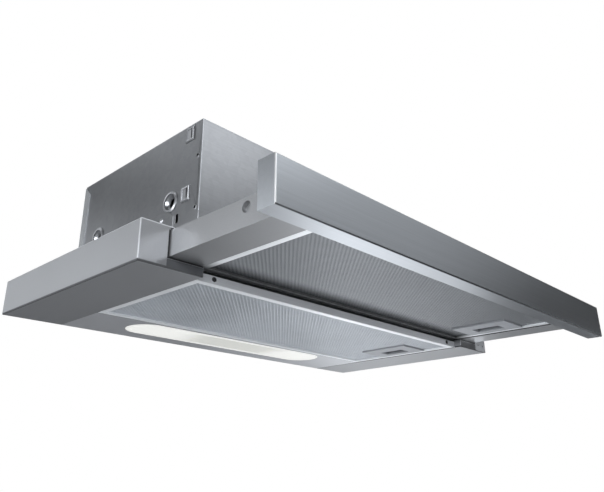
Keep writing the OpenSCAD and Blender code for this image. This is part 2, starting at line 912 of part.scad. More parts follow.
module motor_bracket() {
    x0 = scroll_half + scroll_t;
    ring_r = inlet_r + inlet_bell;
    color("#8f9296") bench() {
        along_x(x0, x0 + bracket_t) translate([fan_y, fan_z]) {
            difference() {
                circle(ring_r + bracket_ring);
                circle(ring_r);
            }
            for (a = [90 : 120 : 330]) rotate(a) translate([motor_r + bracket_wall / 2, -bracket_arm / 2])
                square([ring_r + bracket_wall - motor_r, bracket_arm]);
        }
        along_x(motor_x1, x0 + bracket_t) translate([fan_y, fan_z]) difference() {
            circle(motor_r + bracket_wall);
            circle(motor_r);
        }
    }
}

// Wiring pieces
module capacitor() {
    color("#dfe0dd") bench() translate([capacitor_x, capacitor_y, base_h]) {
        cylinder(r = capacitor_r, h = capacitor_h);
        for (side = [-1, 1]) translate([side * capacitor_r / 3, 0, capacitor_h])
            cube([lug_t, capacitor_r / 3, capacitor_r], center = true);
    }
}

module terminal_box() {
    low = [box_x0, box_y0, shell_z1 - box_h];
    wall = [box_wall, box_wall, 0];
    color("#e6e6e2") bench() difference() {
        box(low, [box_x0 + box_w, box_y0 + box_d, shell_z1]);
        box(low + wall - [0, 0, over], [box_x0 + box_w, box_y0 + box_d, shell_z1 - box_wall] - wall);
        translate([gland_x, gland_y, shell_z1 - box_wall - over])
            cylinder(r = gland_r, h = box_wall + 2 * over);
    }
}

module terminal_lid() {
    z = shell_z1 - box_h;
    color("#d6d6d2") bench() {
        box([box_x0, box_y0, z - box_wall], [box_x0 + box_w, box_y0 + box_d, z]);
        box([box_x0 + box_wall + seam, box_y0 + box_wall + seam, z],
            [box_x0 + box_w - box_wall - seam, box_y0 + box_d - box_wall - seam, z + box_wall]);
    }
}

module cable_gland() {
    color("#3a3c3e") bench() translate([gland_x, gland_y, top_z]) difference() {
        union() {
            translate([0, 0, -gland_down]) cylinder(r = gland_r - fit, h = gland_down + gland_up);
            cylinder(r = gland_nut_r, h = gland_nut_h, $fn = 6);
        }
        translate([0, 0, -gland_down - over]) cylinder(r = gland_bore, h = gland_down + gland_up + 2 * over);
    }
}

// Runners: outer member on the cap, inner member on the arm, on the right
module runner_outer() {
    along_y(runner_y0, runner_y1) {
        translate([web_x - race_t, runner_z0]) square([race_t, runner_h]);
        for (z = [runner_z0, runner_z0 + runner_h - race_t])
            translate([ball_x - ball_r - race_t, z]) square([web_x - ball_x + ball_r + race_t, race_t]);
    }
}

module runner_inner() {
    z0 = ball_z0 + ball_r + fit;
    z1 = ball_z1 - ball_r - fit;
    along_y(runner_y0, inner_y1) {
        translate([arm_x1, z0]) square([race_t, z1 - z0]);
        for (z = [z0, z1 - race_t]) translate([arm_x1, z]) square([race_x - arm_x1, race_t]);
    }
}

module ball_places() {
    pitch = (cage_y1 - cage_y0) / balls;
    for (i = [0 : balls - 1]) for (z = [ball_z0, ball_z1])
        translate([ball_x, cage_y0 + (i + 0.5) * pitch, z]) children();
}

module ball_cage() {
    difference() {
        along_y(cage_y0, cage_y1) {
            translate([cage_x1 - cage_t, ball_z0]) square([cage_t, ball_z1 - ball_z0]);
            for (z = [ball_z0, ball_z1]) translate([ball_x - cage_reach, z - cage_t / 2])
                square([cage_x1 - ball_x + cage_reach, cage_t]);
        }
        ball_places() cylinder(r = ball_r + fit, h = 2 * over, center = true);
    }
}

module runner_outer_left() {
    color("#b9bbbd") bench() mirror([1, 0, 0]) runner_outer();
}

module runner_outer_right() {
    color("#b9bbbd") bench() runner_outer();
}

module runner_inner_left() {
    color("#c9cbcd") bench() mirror([1, 0, 0]) runner_inner();
}

module runner_inner_right() {
    color("#c9cbcd") bench() runner_inner();
}

module ball_cage_left() {
    color("#d8c48a") bench() mirror([1, 0, 0]) ball_cage();
}

module ball_cage_right() {
    color("#d8c48a") bench() ball_cage();
}

module runner_balls_left() {
    color("#e4e5e6") bench() mirror([1, 0, 0]) ball_places() sphere(r = ball_r, $fn = 24);
}

module runner_balls_right() {
    color("#e4e5e6") bench() ball_places() sphere(r = ball_r, $fn = 24);
}

// Visor
module visor_screw_places() {
    for (share = visor_screw_shares) translate([share * 2 * cap_in, fascia_back, visor_screw_z]) children();
    both() translate([(arm_x0 + arm_x1) / 2, fascia_back, visor_screw_z]) children();
}

module visor_fascia() {
    y0 = fascia_back - fascia_t;
    color("#868a91") bench() difference() {
        along_x(-half_w, half_w) translate([fascia_back, 0]) mirror([1, 0])
            far_rounded(fascia_t, base_h, fascia_round);
        box([-half_w + fascia_skin, y0 + fascia_skin, fascia_skin],
            [half_w - fascia_skin, fascia_back - fascia_skin, base_h - fascia_skin]);
        box([-half_w + fascia_lip, fascia_back - fascia_t / 2, fascia_lip],
            [half_w - fascia_lip, fascia_back + over, base_h - fascia_lip]);
        visor_screw_places() rotate([90, 0, 0])
            cylinder(r = screw_r + fit, h = 2 * fascia_skin + over, center = true);
    }
}

module visor_arm() {
    difference() {
        box([arm_x0, fascia_back, arm_z], [arm_x1, arm_y1, visor_z1]);
        box([arm_x0 + arm_t, fascia_back + arm_t, arm_z + arm_t],
            [arm_x1 - arm_t, arm_y1 + over, visor_z1 - arm_t]);
        along_x(arm_x1 - arm_t - over, arm_x1 + over) translate([arm_hole_y, arm_hole_z]) circle(arm_hole_r);
        visor_screw_places() rotate([90, 0, 0])
            cylinder(r = screw_r + fit, h = 2 * arm_t + over, center = true);
    }
    // cup behind the hole
    along_x(arm_x1 - arm_t - arm_cup - arm_cup_t / 2, arm_x1 - arm_t / 2)
        translate([arm_hole_y, arm_hole_z]) difference() {
            circle(arm_hole_r + arm_cup_t);
            circle(arm_hole_r);
        }
    along_x(arm_x1 - arm_t - arm_cup - arm_cup_t, arm_x1 - arm_t - arm_cup)
        translate([arm_hole_y, arm_hole_z]) circle(arm_hole_r + arm_cup_t);
}

module visor_arm_left() {
    color("#a9aaae") bench() mirror([1, 0, 0]) visor_arm();
}

module visor_arm_right() {
    color("#a9aaae") bench() visor_arm();
}

module visor_top_plate() {
    color("#8d9094") bench() difference() {
        union() {
            box([-arm_x0, fascia_back, visor_z1 - sheet], [arm_x0, rail_y + rail_d, visor_z1]);
            box([-arm_x0, fascia_back, visor_filter_z], [arm_x0, fascia_back + sheet, visor_z1]);
        }
        box([control_x0 + control_wall, control_y0 + control_wall, visor_z1 - sheet - over],
            [control_x1 - control_wall, control_y0 + control_d - control_wall, visor_z1 + over]);
        visor_screw_places() rotate([90, 0, 0])
            cylinder(r = screw_r + fit, h = 2 * sheet + over, center = true);
        // front pivot of the visor filter
        along_y(fascia_back - over, fascia_back + sheet + over)
            translate([pivot_x, visor_filter_z + pivot_z]) circle(pivot_r + fit);
    }
}

module visor_rear_rail() {
    z = visor_filter_z - rail_drop;
    color("#7d7f82") bench() difference() {
        union() {
            box([-arm_x0, rail_y, z], [arm_x0, rail_y + rail_d, z + sheet]);
            box([-arm_x0, rail_y, z], [arm_x0, rail_y + sheet, z + rail_lip]);
        }
        along_y(rail_y - over, rail_y + sheet + over)
            translate([pivot_x, visor_filter_z + pivot_z]) circle(pivot_r + fit);
    }
}

module visor_screws() {
    color("#8f9296") bench() {
        for (share = visor_screw_shares) translate([share * 2 * cap_in, fascia_back + sheet, visor_screw_z])
            rotate([-90, 0, 0]) screw(sheet + fascia_skin);
        both() translate([(arm_x0 + arm_x1) / 2, fascia_back + arm_t, visor_screw_z])
            rotate([-90, 0, 0]) screw(arm_t + fascia_skin);
    }
}

// Controls
module control_box() {
    roof = visor_z1 - sheet;
    low = [control_x0, control_y0, control_z0];
    high = [control_x1, control_y0 + control_d, roof];
    wall = [control_wall, control_wall, control_wall];
    floor_z = roof - control_recess;
    color("#4a4c4f") bench() difference() {
        union() {
            box(low, high);
            box([control_x0 - control_flange, control_y0 - control_flange, roof - control_wall],
                [control_x1 + control_flange, control_y0 + control_d + control_flange, roof]);
        }
        box(low + wall,
            [control_x1 - control_wall, control_y0 + control_d - control_wall, floor_z - control_wall]);
        box([control_x0 + control_wall, control_y0 + control_wall, floor_z],
            [control_x1 - control_wall, control_y0 + control_d - control_wall, roof + over]);
        box([speed_x - slot_gap, control_c - stem_d / 2 - slot_gap, floor_z - control_wall - over],
            [speed_x + stem_w + speed_travel + slot_gap, control_c + stem_d / 2 + slot_gap, floor_z + over]);
        box([lamp_x - slot_gap, control_c - stem_d / 2 - slot_gap, floor_z - control_wall - over],
            [lamp_x + stem_w + lamp_travel + slot_gap, control_c + stem_d / 2 + slot_gap, floor_z + over]);
    }
}

// A slide knob whose stem stands at x, with a grip of width w
module knob(x, w) {
    floor_z = visor_z1 - sheet - control_recess;
    grip_x = x + stem_w / 2 - w / 2;
    difference() {
        union() {
            box([grip_x, control_c - knob_d / 2, floor_z + seam],
                [grip_x + w, control_c + knob_d / 2, floor_z + seam + knob_h]);
            box([x, control_c - stem_d / 2, control_z0 + control_wall + seam],
                [x + stem_w, control_c + stem_d / 2, floor_z + seam + knob_h / 2]);
        }
        // finger groove
        along_y(control_c - knob_d, control_c + knob_d)
            translate([x + stem_w / 2, floor_z + seam + knob_h + w / 4]) circle(w / 3);
    }
}

module speed_knob() {
    color("#c4c6c8") bench() knob(speed_x, speed_w);
}

module lamp_knob() {
    color("#c4c6c8") bench() knob(lamp_x, lamp_w);
}

// Grease filters, drawn with their front edge at y = 0 and their underside at z = 0
module filter_frame(d, latch_c) {
    difference() {
        box([-filter_x, 0, 0], [filter_x, d, filter_h]);
        box([-filter_x + filter_sheet, filter_sheet, rim_t],
            [filter_x - filter_sheet, d - filter_sheet, filter_h - filter_sheet]);
        box([-filter_x + strip, strip, -over], [filter_x - strip, d - strip, filter_h + over]);
        box([latch_in - over, latch_c - tongue_l / 2 - slide_gap, slide_z0 - slide_gap],
            [filter_x + over, latch_c + tongue_l / 2 + slide_gap, slide_z1 + slide_gap]);
    }
    along_y(-pivot_tip, filter_sheet) translate([pivot_x, pivot_z]) circle(pivot_r);
    along_y(d - filter_sheet, d + pivot_tip) translate([pivot_x, pivot_z]) circle(pivot_r);
}

module latch_cut(latch_c) {
    box([latch_x0 - seam, latch_c - latch_l / 2 - seam, -over],
        [filter_x, latch_c + latch_l / 2 + seam, filter_h]);
}

// The zigzag section of the filter face
module ridges(length) {
    count = floor(length / ridge_pitch);
    upper = [for (i = [0 : 2 * count]) [i * ridge_pitch / 2, mesh_t + (i % 2) * mesh_rise]];
    lower = [for (i = [2 * count : -1 : 0]) [i * ridge_pitch / 2, (i % 2) * mesh_rise]];
    translate([-count * ridge_pitch / 2, 0]) polygon(concat(upper, lower));
}

module filter_mesh(d, latch_c) {
    reach = 2 * filter_x + d;
    difference() {
        intersection() {
            translate([0, d / 2, rim_t]) rotate([0, 0, 45]) along_x(-reach / 2, reach / 2) ridges(reach);
            box([-filter_x + mesh_inset, mesh_inset, 0], [filter_x - mesh_inset, d - mesh_inset, filter_h]);
        }
        latch_cut(latch_c);
    }
}

module filter_core(d, latch_c) {
    difference() {
        box([-filter_x + mesh_inset, mesh_inset, core_z0], [filter_x - mesh_inset, d - mesh_inset, core_z1]);
        latch_cut(latch_c);
    }
}

module latch_plate(latch_c) {
    low_y = latch_c - latch_l / 2;
    high_y = latch_c + latch_l / 2;
    difference() {
        union() {
            box([latch_x0, low_y, 0], [latch_x1, high_y, filter_h - filter_sheet]);
            box([latch_x0, low_y, rim_t], [latch_in - plate_gap, high_y, filter_h - filter_sheet]);
        }
        box([window_x, latch_c - window_l / 2, -over],
            [window_x + window_w, latch_c + window_l / 2, slide_z0 + over]);
        box([slide_x - latch_travel - slide_gap, latch_c - slide_l / 2 - slide_gap, slide_z0 - slide_gap],
            [slide_x + slide_w + slide_gap, latch_c + slide_l / 2 + slide_gap, slide_z1 + slide_gap]);
        box([slide_x, latch_c - tongue_l / 2 - slide_gap, slide_z0 - slide_gap],
            [filter_x + over, latch_c + tongue_l / 2 + slide_gap, slide_z1 + slide_gap]);
    }
}

module latch(latch_c) {
    difference() {
        union() {
            box([slide_x, latch_c - slide_l / 2, slide_z0],
                [slide_x + slide_w, latch_c + slide_l / 2, slide_z1]);
            box([slide_x, latch_c - tongue_l / 2, slide_z0],
                [cap_in - tongue_gap, latch_c + tongue_l / 2, slide_z1]);
        }
        box([window_x + recess_inset, latch_c - window_l / 2 + recess_inset, slide_z0 - over],
            [window_x + window_w - recess_inset, latch_c + window_l / 2 - recess_inset, slide_z1 + over]);
    }
}

module base_filter() {
    bench() translate([0, base_filter_y, 0]) children();
}

module visor_filter() {
    bench() translate([0, visor_filter_y, visor_filter_z]) children();
}

module base_filter_frame() {
    color("#c3c6c9") base_filter() filter_frame(base_filter_d, base_latch_c);
}

module base_filter_mesh() {
    color("#959aa2") base_filter() filter_mesh(base_filter_d, base_latch_c);
}

module base_filter_core() {
    color("#b0b3b8") base_filter() filter_core(base_filter_d, base_latch_c);
}

module base_latch_plate() {
    color("#a0a4aa") base_filter() latch_plate(base_latch_c);
}

module base_latch() {
    color("#6a6f76") base_filter() latch(base_latch_c);
}

module visor_filter_frame() {
    color("#c3c6c9") visor_filter() filter_frame(visor_filter_d, visor_latch_c);
}

module visor_filter_mesh() {
    color("#858a92") visor_filter() filter_mesh(visor_filter_d, visor_latch_c);
}

module visor_filter_core() {
    color("#b0b3b8") visor_filter() filter_core(visor_filter_d, visor_latch_c);
}

module visor_latch_plate() {
    color("#a0a4aa") visor_filter() latch_plate(visor_latch_c);
}

module visor_latch() {
    color("#6a6f76") visor_filter() latch(visor_latch_c);
}

base_frame();
front_beam();
side_cap_left();
side_cap_right();
cap_screws();
lamp_panel();
lamp_lens();
lamp_reflector();
lamp_holders();
lamp_bulb_left();
lamp_bulb_right();
housing_shell();
housing_back();
housing_top();
housing_screws();
duct_collar();
flap_pin();
scroll_wrap();
scroll_side_left();
scroll_side_right();
motor_bracket();
motor_stator();
motor_end_cap();
motor_bearings();
capacitor();
terminal_box();
terminal_lid();
cable_gland();
runner_outer_left();
runner_outer_right();
visor_fascia();
visor_arm_left();
visor_arm_right();
visor_top_plate();
visor_rear_rail();
runner_inner_left();
runner_inner_right();
control_box();
visor_screws();
ball_cage_left();
runner_balls_left();
ball_cage_right();
runner_balls_right();
base_filter_frame();
base_filter_mesh();
base_filter_core();
base_latch_plate();
base_latch();
visor_filter_frame();
visor_filter_mesh();
visor_filter_core();
visor_latch_plate();
visor_latch();
fan_impeller();
motor_shaft();
motor_rotor();
flap_front();
flap_back();
speed_knob();
lamp_knob();
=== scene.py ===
"""Looks of a pull-out range hood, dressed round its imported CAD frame."""

import logging
import math
from dataclasses import dataclass
from enum import Enum
from functools import cache, cached_property

import bpy
from mathutils import Matrix, Vector


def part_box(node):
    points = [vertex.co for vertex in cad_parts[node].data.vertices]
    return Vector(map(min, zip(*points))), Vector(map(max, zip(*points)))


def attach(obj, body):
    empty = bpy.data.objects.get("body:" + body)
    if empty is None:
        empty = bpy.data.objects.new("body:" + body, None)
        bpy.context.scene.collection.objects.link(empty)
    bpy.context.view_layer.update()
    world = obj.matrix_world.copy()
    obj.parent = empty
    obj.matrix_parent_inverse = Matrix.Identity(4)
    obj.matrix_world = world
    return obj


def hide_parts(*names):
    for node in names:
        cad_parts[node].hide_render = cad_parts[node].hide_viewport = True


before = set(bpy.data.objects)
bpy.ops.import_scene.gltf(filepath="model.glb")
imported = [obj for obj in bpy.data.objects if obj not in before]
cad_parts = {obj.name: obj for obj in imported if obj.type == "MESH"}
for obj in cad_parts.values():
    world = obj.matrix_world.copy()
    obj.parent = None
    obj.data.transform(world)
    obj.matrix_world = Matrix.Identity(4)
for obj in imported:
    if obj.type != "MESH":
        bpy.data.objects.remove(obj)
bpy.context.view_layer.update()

LOG = logging.getLogger("hood")
MM = 0.001
Colour = tuple[float, float, float]
Point = tuple[float, float, float]
Span = tuple[float, float]
Line = tuple[Point, float, Colour]

# Both sides with the sign of their X, and the corners of a square seen from its middle
SIDES = (("left", -1), ("right", 1))
CORNERS = ((-1, -1), (1, -1), (1, 1), (-1, 1))

# Painted shade: its colour, the roughness that it adds and how ragged its edge is
PAINTED_SHADE = (0.022, 0.023, 0.025)
PAINTED_SHADE_ROUGH = 0.4
PAINTED_SHADE_RAGGED = 4.0 * MM

# A painted highlight or painted shade line on an edge: share of its reach with full colour, and what a shade
# line darker than DULL adds
LINE_CORE = 0.4
DULL = 0.2
DULL_REACH = 1.8
DULL_ROUGH = 0.5

# Colours and depths of texture that several finishes share
# White of painted highlights on edges
HIGHLIGHT_WHITE = (1.0, 1.0, 1.0)
BLACK = (0.0, 0.0, 0.0)
LENS = (0.6, 0.6, 0.58)
LAMPLIGHT = (0.96, 0.955, 0.90)
FINEST = 0.01 * MM
FINE = 0.02 * MM
COARSE = 0.03 * MM

# Sharp edges of CAD nodes: gap that is welded, steps of the bevel and its least angle in degrees
WELD_GAP = 1e-6
BEVEL_STEPS = 2
BEVEL_ANGLE = 40


class Grain(Enum):
    """Direction in which the marks of a rolled or brushed metal run."""

    X = (1, 0, 0)
    Y = (0, 1, 0)
    Z = (0, 0, 1)

    def stretch(self, along: float, across: float) -> Point:
        """Scales that draw a texture out along this direction."""
        return tuple(along if a else across for a in self.value)


class Value:
    """An output of a material's node, whose operators add Math nodes."""

    def __init__(self, paint: "Paint", link: bpy.types.NodeSocket) -> None:
        """Keeps the material and the output."""
        self.paint = paint
        self.link = link

    def math(self, operation: str, *terms: "Value | float") -> "Value":
        """Adds one Math node on the terms."""
        return self.paint.add("Math", dict(enumerate(terms)), operation=operation)

    def __add__(self, other: "Value | float") -> "Value":
        """The sum of both."""
        return self.math("ADD", self, other)

    def __sub__(self, other: "Value | float") -> "Value":
        """This less the other."""
        return self.math("SUBTRACT", self, other)

    def __mul__(self, other: "Value | float") -> "Value":
        """The product of both."""
        return self.math("MULTIPLY", self, other)

    __radd__ = __add__

    def sine(self) -> "Value":
        """Sine of the value, in radians."""
        return self.math("SINE", self)

    def size(self) -> "Value":
        """The value without its sign."""
        return self.math("ABSOLUTE", self)

    def eased(self, low: float, high: float, start: float = 0.0, end: float = 1.0) -> "Value":
        """Goes smoothly from start to end while the value goes from low to high."""
        sockets = {0: self, 1: low, 2: high, 3: start, 4: end}
        return self.paint.add("MapRange", sockets, interpolation_type="SMOOTHSTEP")


class Paint:
    """The nodes of a material or world in the making."""

    def __init__(self, name: str, home: bpy.types.bpy_prop_collection) -> None:
        """Starts an empty material or world of that name, in its home among Blender's data."""
        self.data = home.new(name)
        self.data.use_nodes = True
        self.tree = self.data.node_tree
        self.tree.nodes.clear()

    @cached_property
    def place(self) -> Value:
        """The place on the object, in metres."""
        return self.add("TexCoord", output="Object")

    def add(self, kind: str, sockets: dict | None = None, output: int | str = 0,
            **settings: object) -> Value | None:
        """Adds a node.

        Args:
            kind: Blender's name of the node type, without ShaderNode.
            sockets: Values or links of its inputs, by name or place.
            output: The output that is wanted.
            settings: Properties of the node, which are set first.

        Returns:
            That output of the new node, or None where it has none.
        """
        node = self.tree.nodes.new("ShaderNode" + kind)
        for name, setting in settings.items():
            setattr(node, name, setting)
        for name, given in (sockets or {}).items():
            if isinstance(given, Value):
                self.tree.links.new(given.link, node.inputs[name])
            else:
                node.inputs[name].default_value = given
        return Value(self, node.outputs[output]) if node.outputs else None

    def along(self, axis: int) -> Value:
        """One coordinate of the place, in metres."""
        return self.add("SeparateXYZ", {0: self.place}, axis)

    def noise(self, scale: float, detail: float = 2.0, where: Value | None = None) -> Value:
        """Smooth noise around one half."""
        return self.add("TexNoise", {"Vector": where or self.place, "Scale": scale, "Detail": detail}, "Fac")

    def drawn(self, scales: Point, detail: float = 2.0) -> Value:
        """Smooth noise around one half with a scale for each axis."""
        where = self.add("VectorMath", {0: self.place, 1: scales}, operation="MULTIPLY")
        return self.noise(1.0, detail, where)

    def cells(self, scale: float, output: str = "Distance") -> Value:
        """A pattern of cells: the distance to their middles, or a colour for each."""
        return self.add("TexVoronoi", {"Vector": self.place, "Scale": scale}, output)

    def cell_tone(self, scale: float) -> Value:
        """One grey for each cell of a pattern."""
        return self.add("SeparateXYZ", {0: self.cells(scale, "Color")})

    def mix(self, share: Value | float, low: Colour | Value, high: Colour | Value) -> Value:
        """A colour between two others."""
        ends = [c if isinstance(c, Value) else (*c, 1.0) for c in (low, high)]
        return self.add("Mix", {0: share, 6: ends[0], 7: ends[1]}, 2, data_type="RGBA")

    def varied(self, tone: Value, colour: Colour, low: float, high: float, ease: Span = (0.3, 0.7)) -> Value:
        """A colour between two shares of one, by a tone that is eased over a span."""
        return self.mix(tone.eased(*ease), shade(colour, low), shade(colour, high))

    def gloss(self, mean: float, *swings: tuple[Value, float]) -> Value:
        """A roughness that noises around one half swing about its mean."""
        start = mean - sum(swing for _, swing in swings) / 2
        return sum((noise * swing for noise, swing in swings), start)

    def paint_shade(self, colour: Value, rough: Value, span: Span | None) -> tuple[Value, Value]:
        """Colour and roughness with painted shade, which sets in over a span along Y."""
        if span is None:
            return colour, rough
        # Share of painted shade, with a ragged edge, rising over the span along Y
        ragged = self.along(1) + (self.noise(90.0, 3.0) - 0.5) * PAINTED_SHADE_RAGGED
        shade_share = ragged.eased(*span)
        return self.mix(shade_share, colour, PAINTED_SHADE), rough + shade_share * PAINTED_SHADE_ROUGH

    def light_edges(self, colour: Value, rough: Value, lines: tuple[Line, ...],
               width: float) -> tuple[Value, Value]:
        """Paints highlights on some edges, or painted shade that is also matt.

        Args:
            colour: The colour elsewhere.
            rough: The roughness elsewhere.
            lines: For each edge the weights of x, y and z whose sum is least on it, that sum and its colour.
            width: How far a painted highlight's colour reaches.

        Returns:
            Colour and roughness.
        """
        # Each line is a painted highlight, or painted shade where its colour is darker than DULL
        for weights, least, edge_colour in lines:
            far = self.add("VectorMath", {0: self.place, 1: weights}, 1, operation="DOT_PRODUCT")
            dull = max(edge_colour) < DULL
            reach = width * (DULL_REACH if dull else 1.0)
            edge_light = (far - least).eased(LINE_CORE * reach, reach, 1.0, 0.0)
            colour = self.mix(edge_light, colour, edge_colour)
            if dull:
                rough = rough + edge_light * DULL_ROUGH
        return colour, rough

    def bump(self, height: Value, depth: float, strength: float) -> Value:
        """A Normal from a height of that depth in metres."""
        return self.add("Bump", {"Height": height, "Distance": depth, "Strength": strength})

    def surface(self, colour: object, rough: Value, normal: Value, **more: object) -> Value:
        """Adds a Principled surface.

        Args:
            colour: Its Base Color.
            rough: Its Roughness.
            normal: Its Normal.
            more: Further inputs, with underscores for the spaces in their names.

        Returns:
            Its shader.
        """
        sockets = {name.replace("_", " "): given for name, given in more.items()}
        sockets |= {"Base Color": colour, "Roughness": rough, "Normal": normal}
        return self.add("BsdfPrincipled", sockets)


def shade(colour: Colour, share: float) -> Colour:
    """The colour made lighter or darker by that share."""
    return tuple(min(1.0, c * share) for c in colour)


@dataclass(frozen=True)
class Finish:
    """Name, mean colour and further looks of a material."""

    name: str
    colour: Colour

    def make(self, p: Paint) -> Value:
        """Adds the finish's nodes and gives the last one's shader."""
        raise NotImplementedError

    @cache
    def material(self) -> bpy.types.Material:
        """The material, which is made once."""
        paint = Paint(self.name, bpy.data.materials)
        paint.add("OutputMaterial", {"Surface": self.make(paint)})
        return paint.data


@dataclass(frozen=True)
class BrushedSteel(Finish):
    """Stainless sheet with fine brush marks along one direction."""

    rough: float
    grain: Grain = Grain.X
    contrast: float = 0.05
    metallic: float = 1.0
    # Span along Y of painted shade, and lines of painted highlight and painted shade on edges
    shade_span: Span | None = None
    edge_light: tuple[Line, ...] = ()
    fine: Span = (14.0, 3000.0)
    broad: Span = (5.0, 420.0)
    mark_depth: float = 0.004 * MM
    line_width: float = 1.4 * MM

    def make(self, p: Paint) -> Value:
        """Brush marks in colour, gloss and height."""
        fine = p.drawn(self.grain.stretch(*self.fine), 3.0)
        broad = p.drawn(self.grain.stretch(*self.broad))
        marks = fine * 0.7 + broad * 0.3
        colour = p.varied(marks, self.colour, 1 - self.contrast, 1 + self.contrast)
        rough = p.gloss(self.rough, (marks, 0.10), (p.noise(6.0), 0.05))
        # Painted shade over its span, then painted highlight and painted shade lines on edges
        colour, rough = p.light_edges(*p.paint_shade(colour, rough, self.shade_span), self.edge_light, self.line_width)
        return p.surface(colour, rough, p.bump(marks, self.mark_depth, 0.5), Metallic=self.metallic)


@dataclass(frozen=True)
class Pill:
    """A level slot shape with a pale translucent border."""

    middle: Span
    half_length: float
    half_width: float
    border: float = 4.0 * MM
    core: float = 0.8
    glow: float = 0.5

    def share(self, p: Paint) -> Value:
        """One on the border, nought beyond it."""
        straight = self.half_length - self.half_width
        past = (p.along(0) - self.middle[0]).size() - straight
        over = past.math("MAXIMUM", past, 0.0)
        side = p.along(1) - self.middle[1]
        square = over * over + side * side
        far = square.math("SQRT", square)
        return far.eased(self.half_width + self.core * self.border, self.half_width + self.border, 1.0, 0.0)


@dataclass(frozen=True)
class SatinPaint(Finish):
    """Powder paint or lacquer over sheet or plastic, with a fine peel."""

    rough: float
    metallic: float = 0.7
    # Lines of painted highlight and painted shade on edges
    edge_light: tuple[Line, ...] = ()
    border: Pill | None = None
    flakes: float = 0.05
    line_width: float = 1.3 * MM

    def make(self, p: Paint) -> Value:
        """Metal flakes, faint clouds and peel."""
        cloud = p.noise(7.0, 3.0)
        peel = p.noise(900.0)
        colour = p.mix(self.flakes, p.varied(cloud, self.colour, 0.97, 1.03), p.cells(2600.0))
        rough = p.gloss(self.rough, (peel, 0.08), (cloud, 0.05))
        # Painted highlight and painted shade lines on edges
        colour, rough = p.light_edges(colour, rough, self.edge_light, self.line_width)
        metal, glow = self.metallic, {}
        if self.border:
            share = self.border.share(p)
            metal = share * -self.metallic + self.metallic
            colour = p.mix(share, colour, LENS)
            glow = {"Emission_Color": p.mix(share, BLACK, LAMPLIGHT), "Emission_Strength": self.border.glow}
        return p.surface(colour, rough, p.bump(peel, FINE, 0.5), Metallic=metal, **glow)


@dataclass(frozen=True)
class Zinc(Finish):
    """Galvanised sheet with faint spangle and rolling marks."""

    rough: float
    grain: Grain = Grain.X
    metallic: float = 0.9
    # Lines of painted highlight and painted shade on edges
    edge_light: tuple[Line, ...] = ()
    rolling: Span = (12.0, 700.0)
    spangle: float = 0.02
    line_width: float = 1.2 * MM

    def make(self, p: Paint) -> Value:
        """Spangle cells, rolling marks and clouds."""
        rolled = p.drawn(self.grain.stretch(*self.rolling))
        tone = p.noise(5.0, 3.0) * 0.6 + rolled * 0.4
        colour = p.mix(self.spangle, p.varied(tone, self.colour, 0.95, 1.05), p.cell_tone(160.0))
        rough = p.gloss(self.rough, (tone, 0.14))
        # Painted highlight and painted shade lines on edges
        colour, rough = p.light_edges(colour, rough, self.edge_light, self.line_width)
        return p.surface(colour, rough, p.bump(rolled, FINE, 0.4), Metallic=self.metallic)


@dataclass(frozen=True)
class Plastic(Finish):
    """Injection-moulded plastic with a fine spark-eroded texture."""

    rough: float
    texture: float = COARSE
    grain_size: float = 0.6 * MM

    def make(self, p: Paint) -> Value:
        """Eroded texture, flow clouds and a broken gloss."""
        erosion = p.noise(1 / self.grain_size, 3.0)
        tone = erosion * 0.4 + p.noise(14.0) * 0.6
        colour = p.varied(tone, self.colour, 0.9, 1.1)
        rough = p.gloss(self.rough, (erosion, 0.16))
        return p.surface(colour, rough, p.bump(erosion, self.texture, 0.6), Specular_IOR_Level=0.45)


@dataclass(frozen=True)
class Metal(Finish):
    """Turned, drawn or cast metal with fine tool marks."""

    rough: float
    grain: Grain = Grain.X
    stain: float = 0.06

    def make(self, p: Paint) -> Value:
        """Tool marks and faint stains."""
        marks = p.drawn(self.grain.stretch(3000.0, 40.0), 3.0)
        stain = p.noise(60.0, 4.0)
        tone = (marks + stain) * 0.5
        colour = p.varied(tone, self.colour, 1 - 2 * self.stain, 1 + self.stain, (0.25, 0.75))
        rough = p.gloss(self.rough, (stain, 0.16), (marks, 0.06))
        return p.surface(colour, rough, p.bump(marks, FINEST, 0.4), Metallic=1.0)


@dataclass(frozen=True)
class StrandMetal(Finish):
    """Aluminium strands of a filter face."""

    rough: float = 0.42
    metallic: float = 0.85
    # Span along Y of painted shade
    shade_span: Span | None = None

    def make(self, p: Paint) -> Value:
        """Drawn marks, dull spots and a dusty tone."""
        drawn = p.noise(700.0)
        tone = (drawn + p.noise(9.0)) * 0.5
        colour = p.varied(tone, self.colour, 0.9, 1.08)
        # Darkens into painted shade over its span
        colour, rough = p.paint_shade(colour, p.gloss(self.rough, (tone, 0.2)), self.shade_span)
        return p.surface(colour, rough, p.bump(drawn, COARSE, 0.5), Metallic=self.metallic)


@dataclass(frozen=True)
class LayeredMesh(Finish):
    """Crossed wires of the filter layers behind the face."""

    rough: float = 0.55
    metallic: float = 0.6
    # Span along Y of painted shade
    shade_span: Span | None = None
    pitch: float = 2.6 * MM
    slant: float = 0.6
    wire_depth: float = 0.3 * MM

    def make(self, p: Paint) -> Value:
        """Two families of crossed wires over dark gaps."""
        wave = 2 * math.pi / self.pitch
        one = ((p.along(0) + p.along(1) * self.slant) * wave).sine()
        two = ((p.along(0) * self.slant - p.along(1)) * wave).sine()
        wires = one.math("MAXIMUM", one, two)
        colour = p.varied(wires, self.colour, 0.25, 1.5, (-0.1, 0.9))
        # Darkens into painted shade over its span
        colour, rough = p.paint_shade(colour, p.gloss(self.rough, (wires, -0.1)), self.shade_span)
        return p.surface(colour, rough, p.bump(wires, self.wire_depth, 0.8), Metallic=self.metallic)


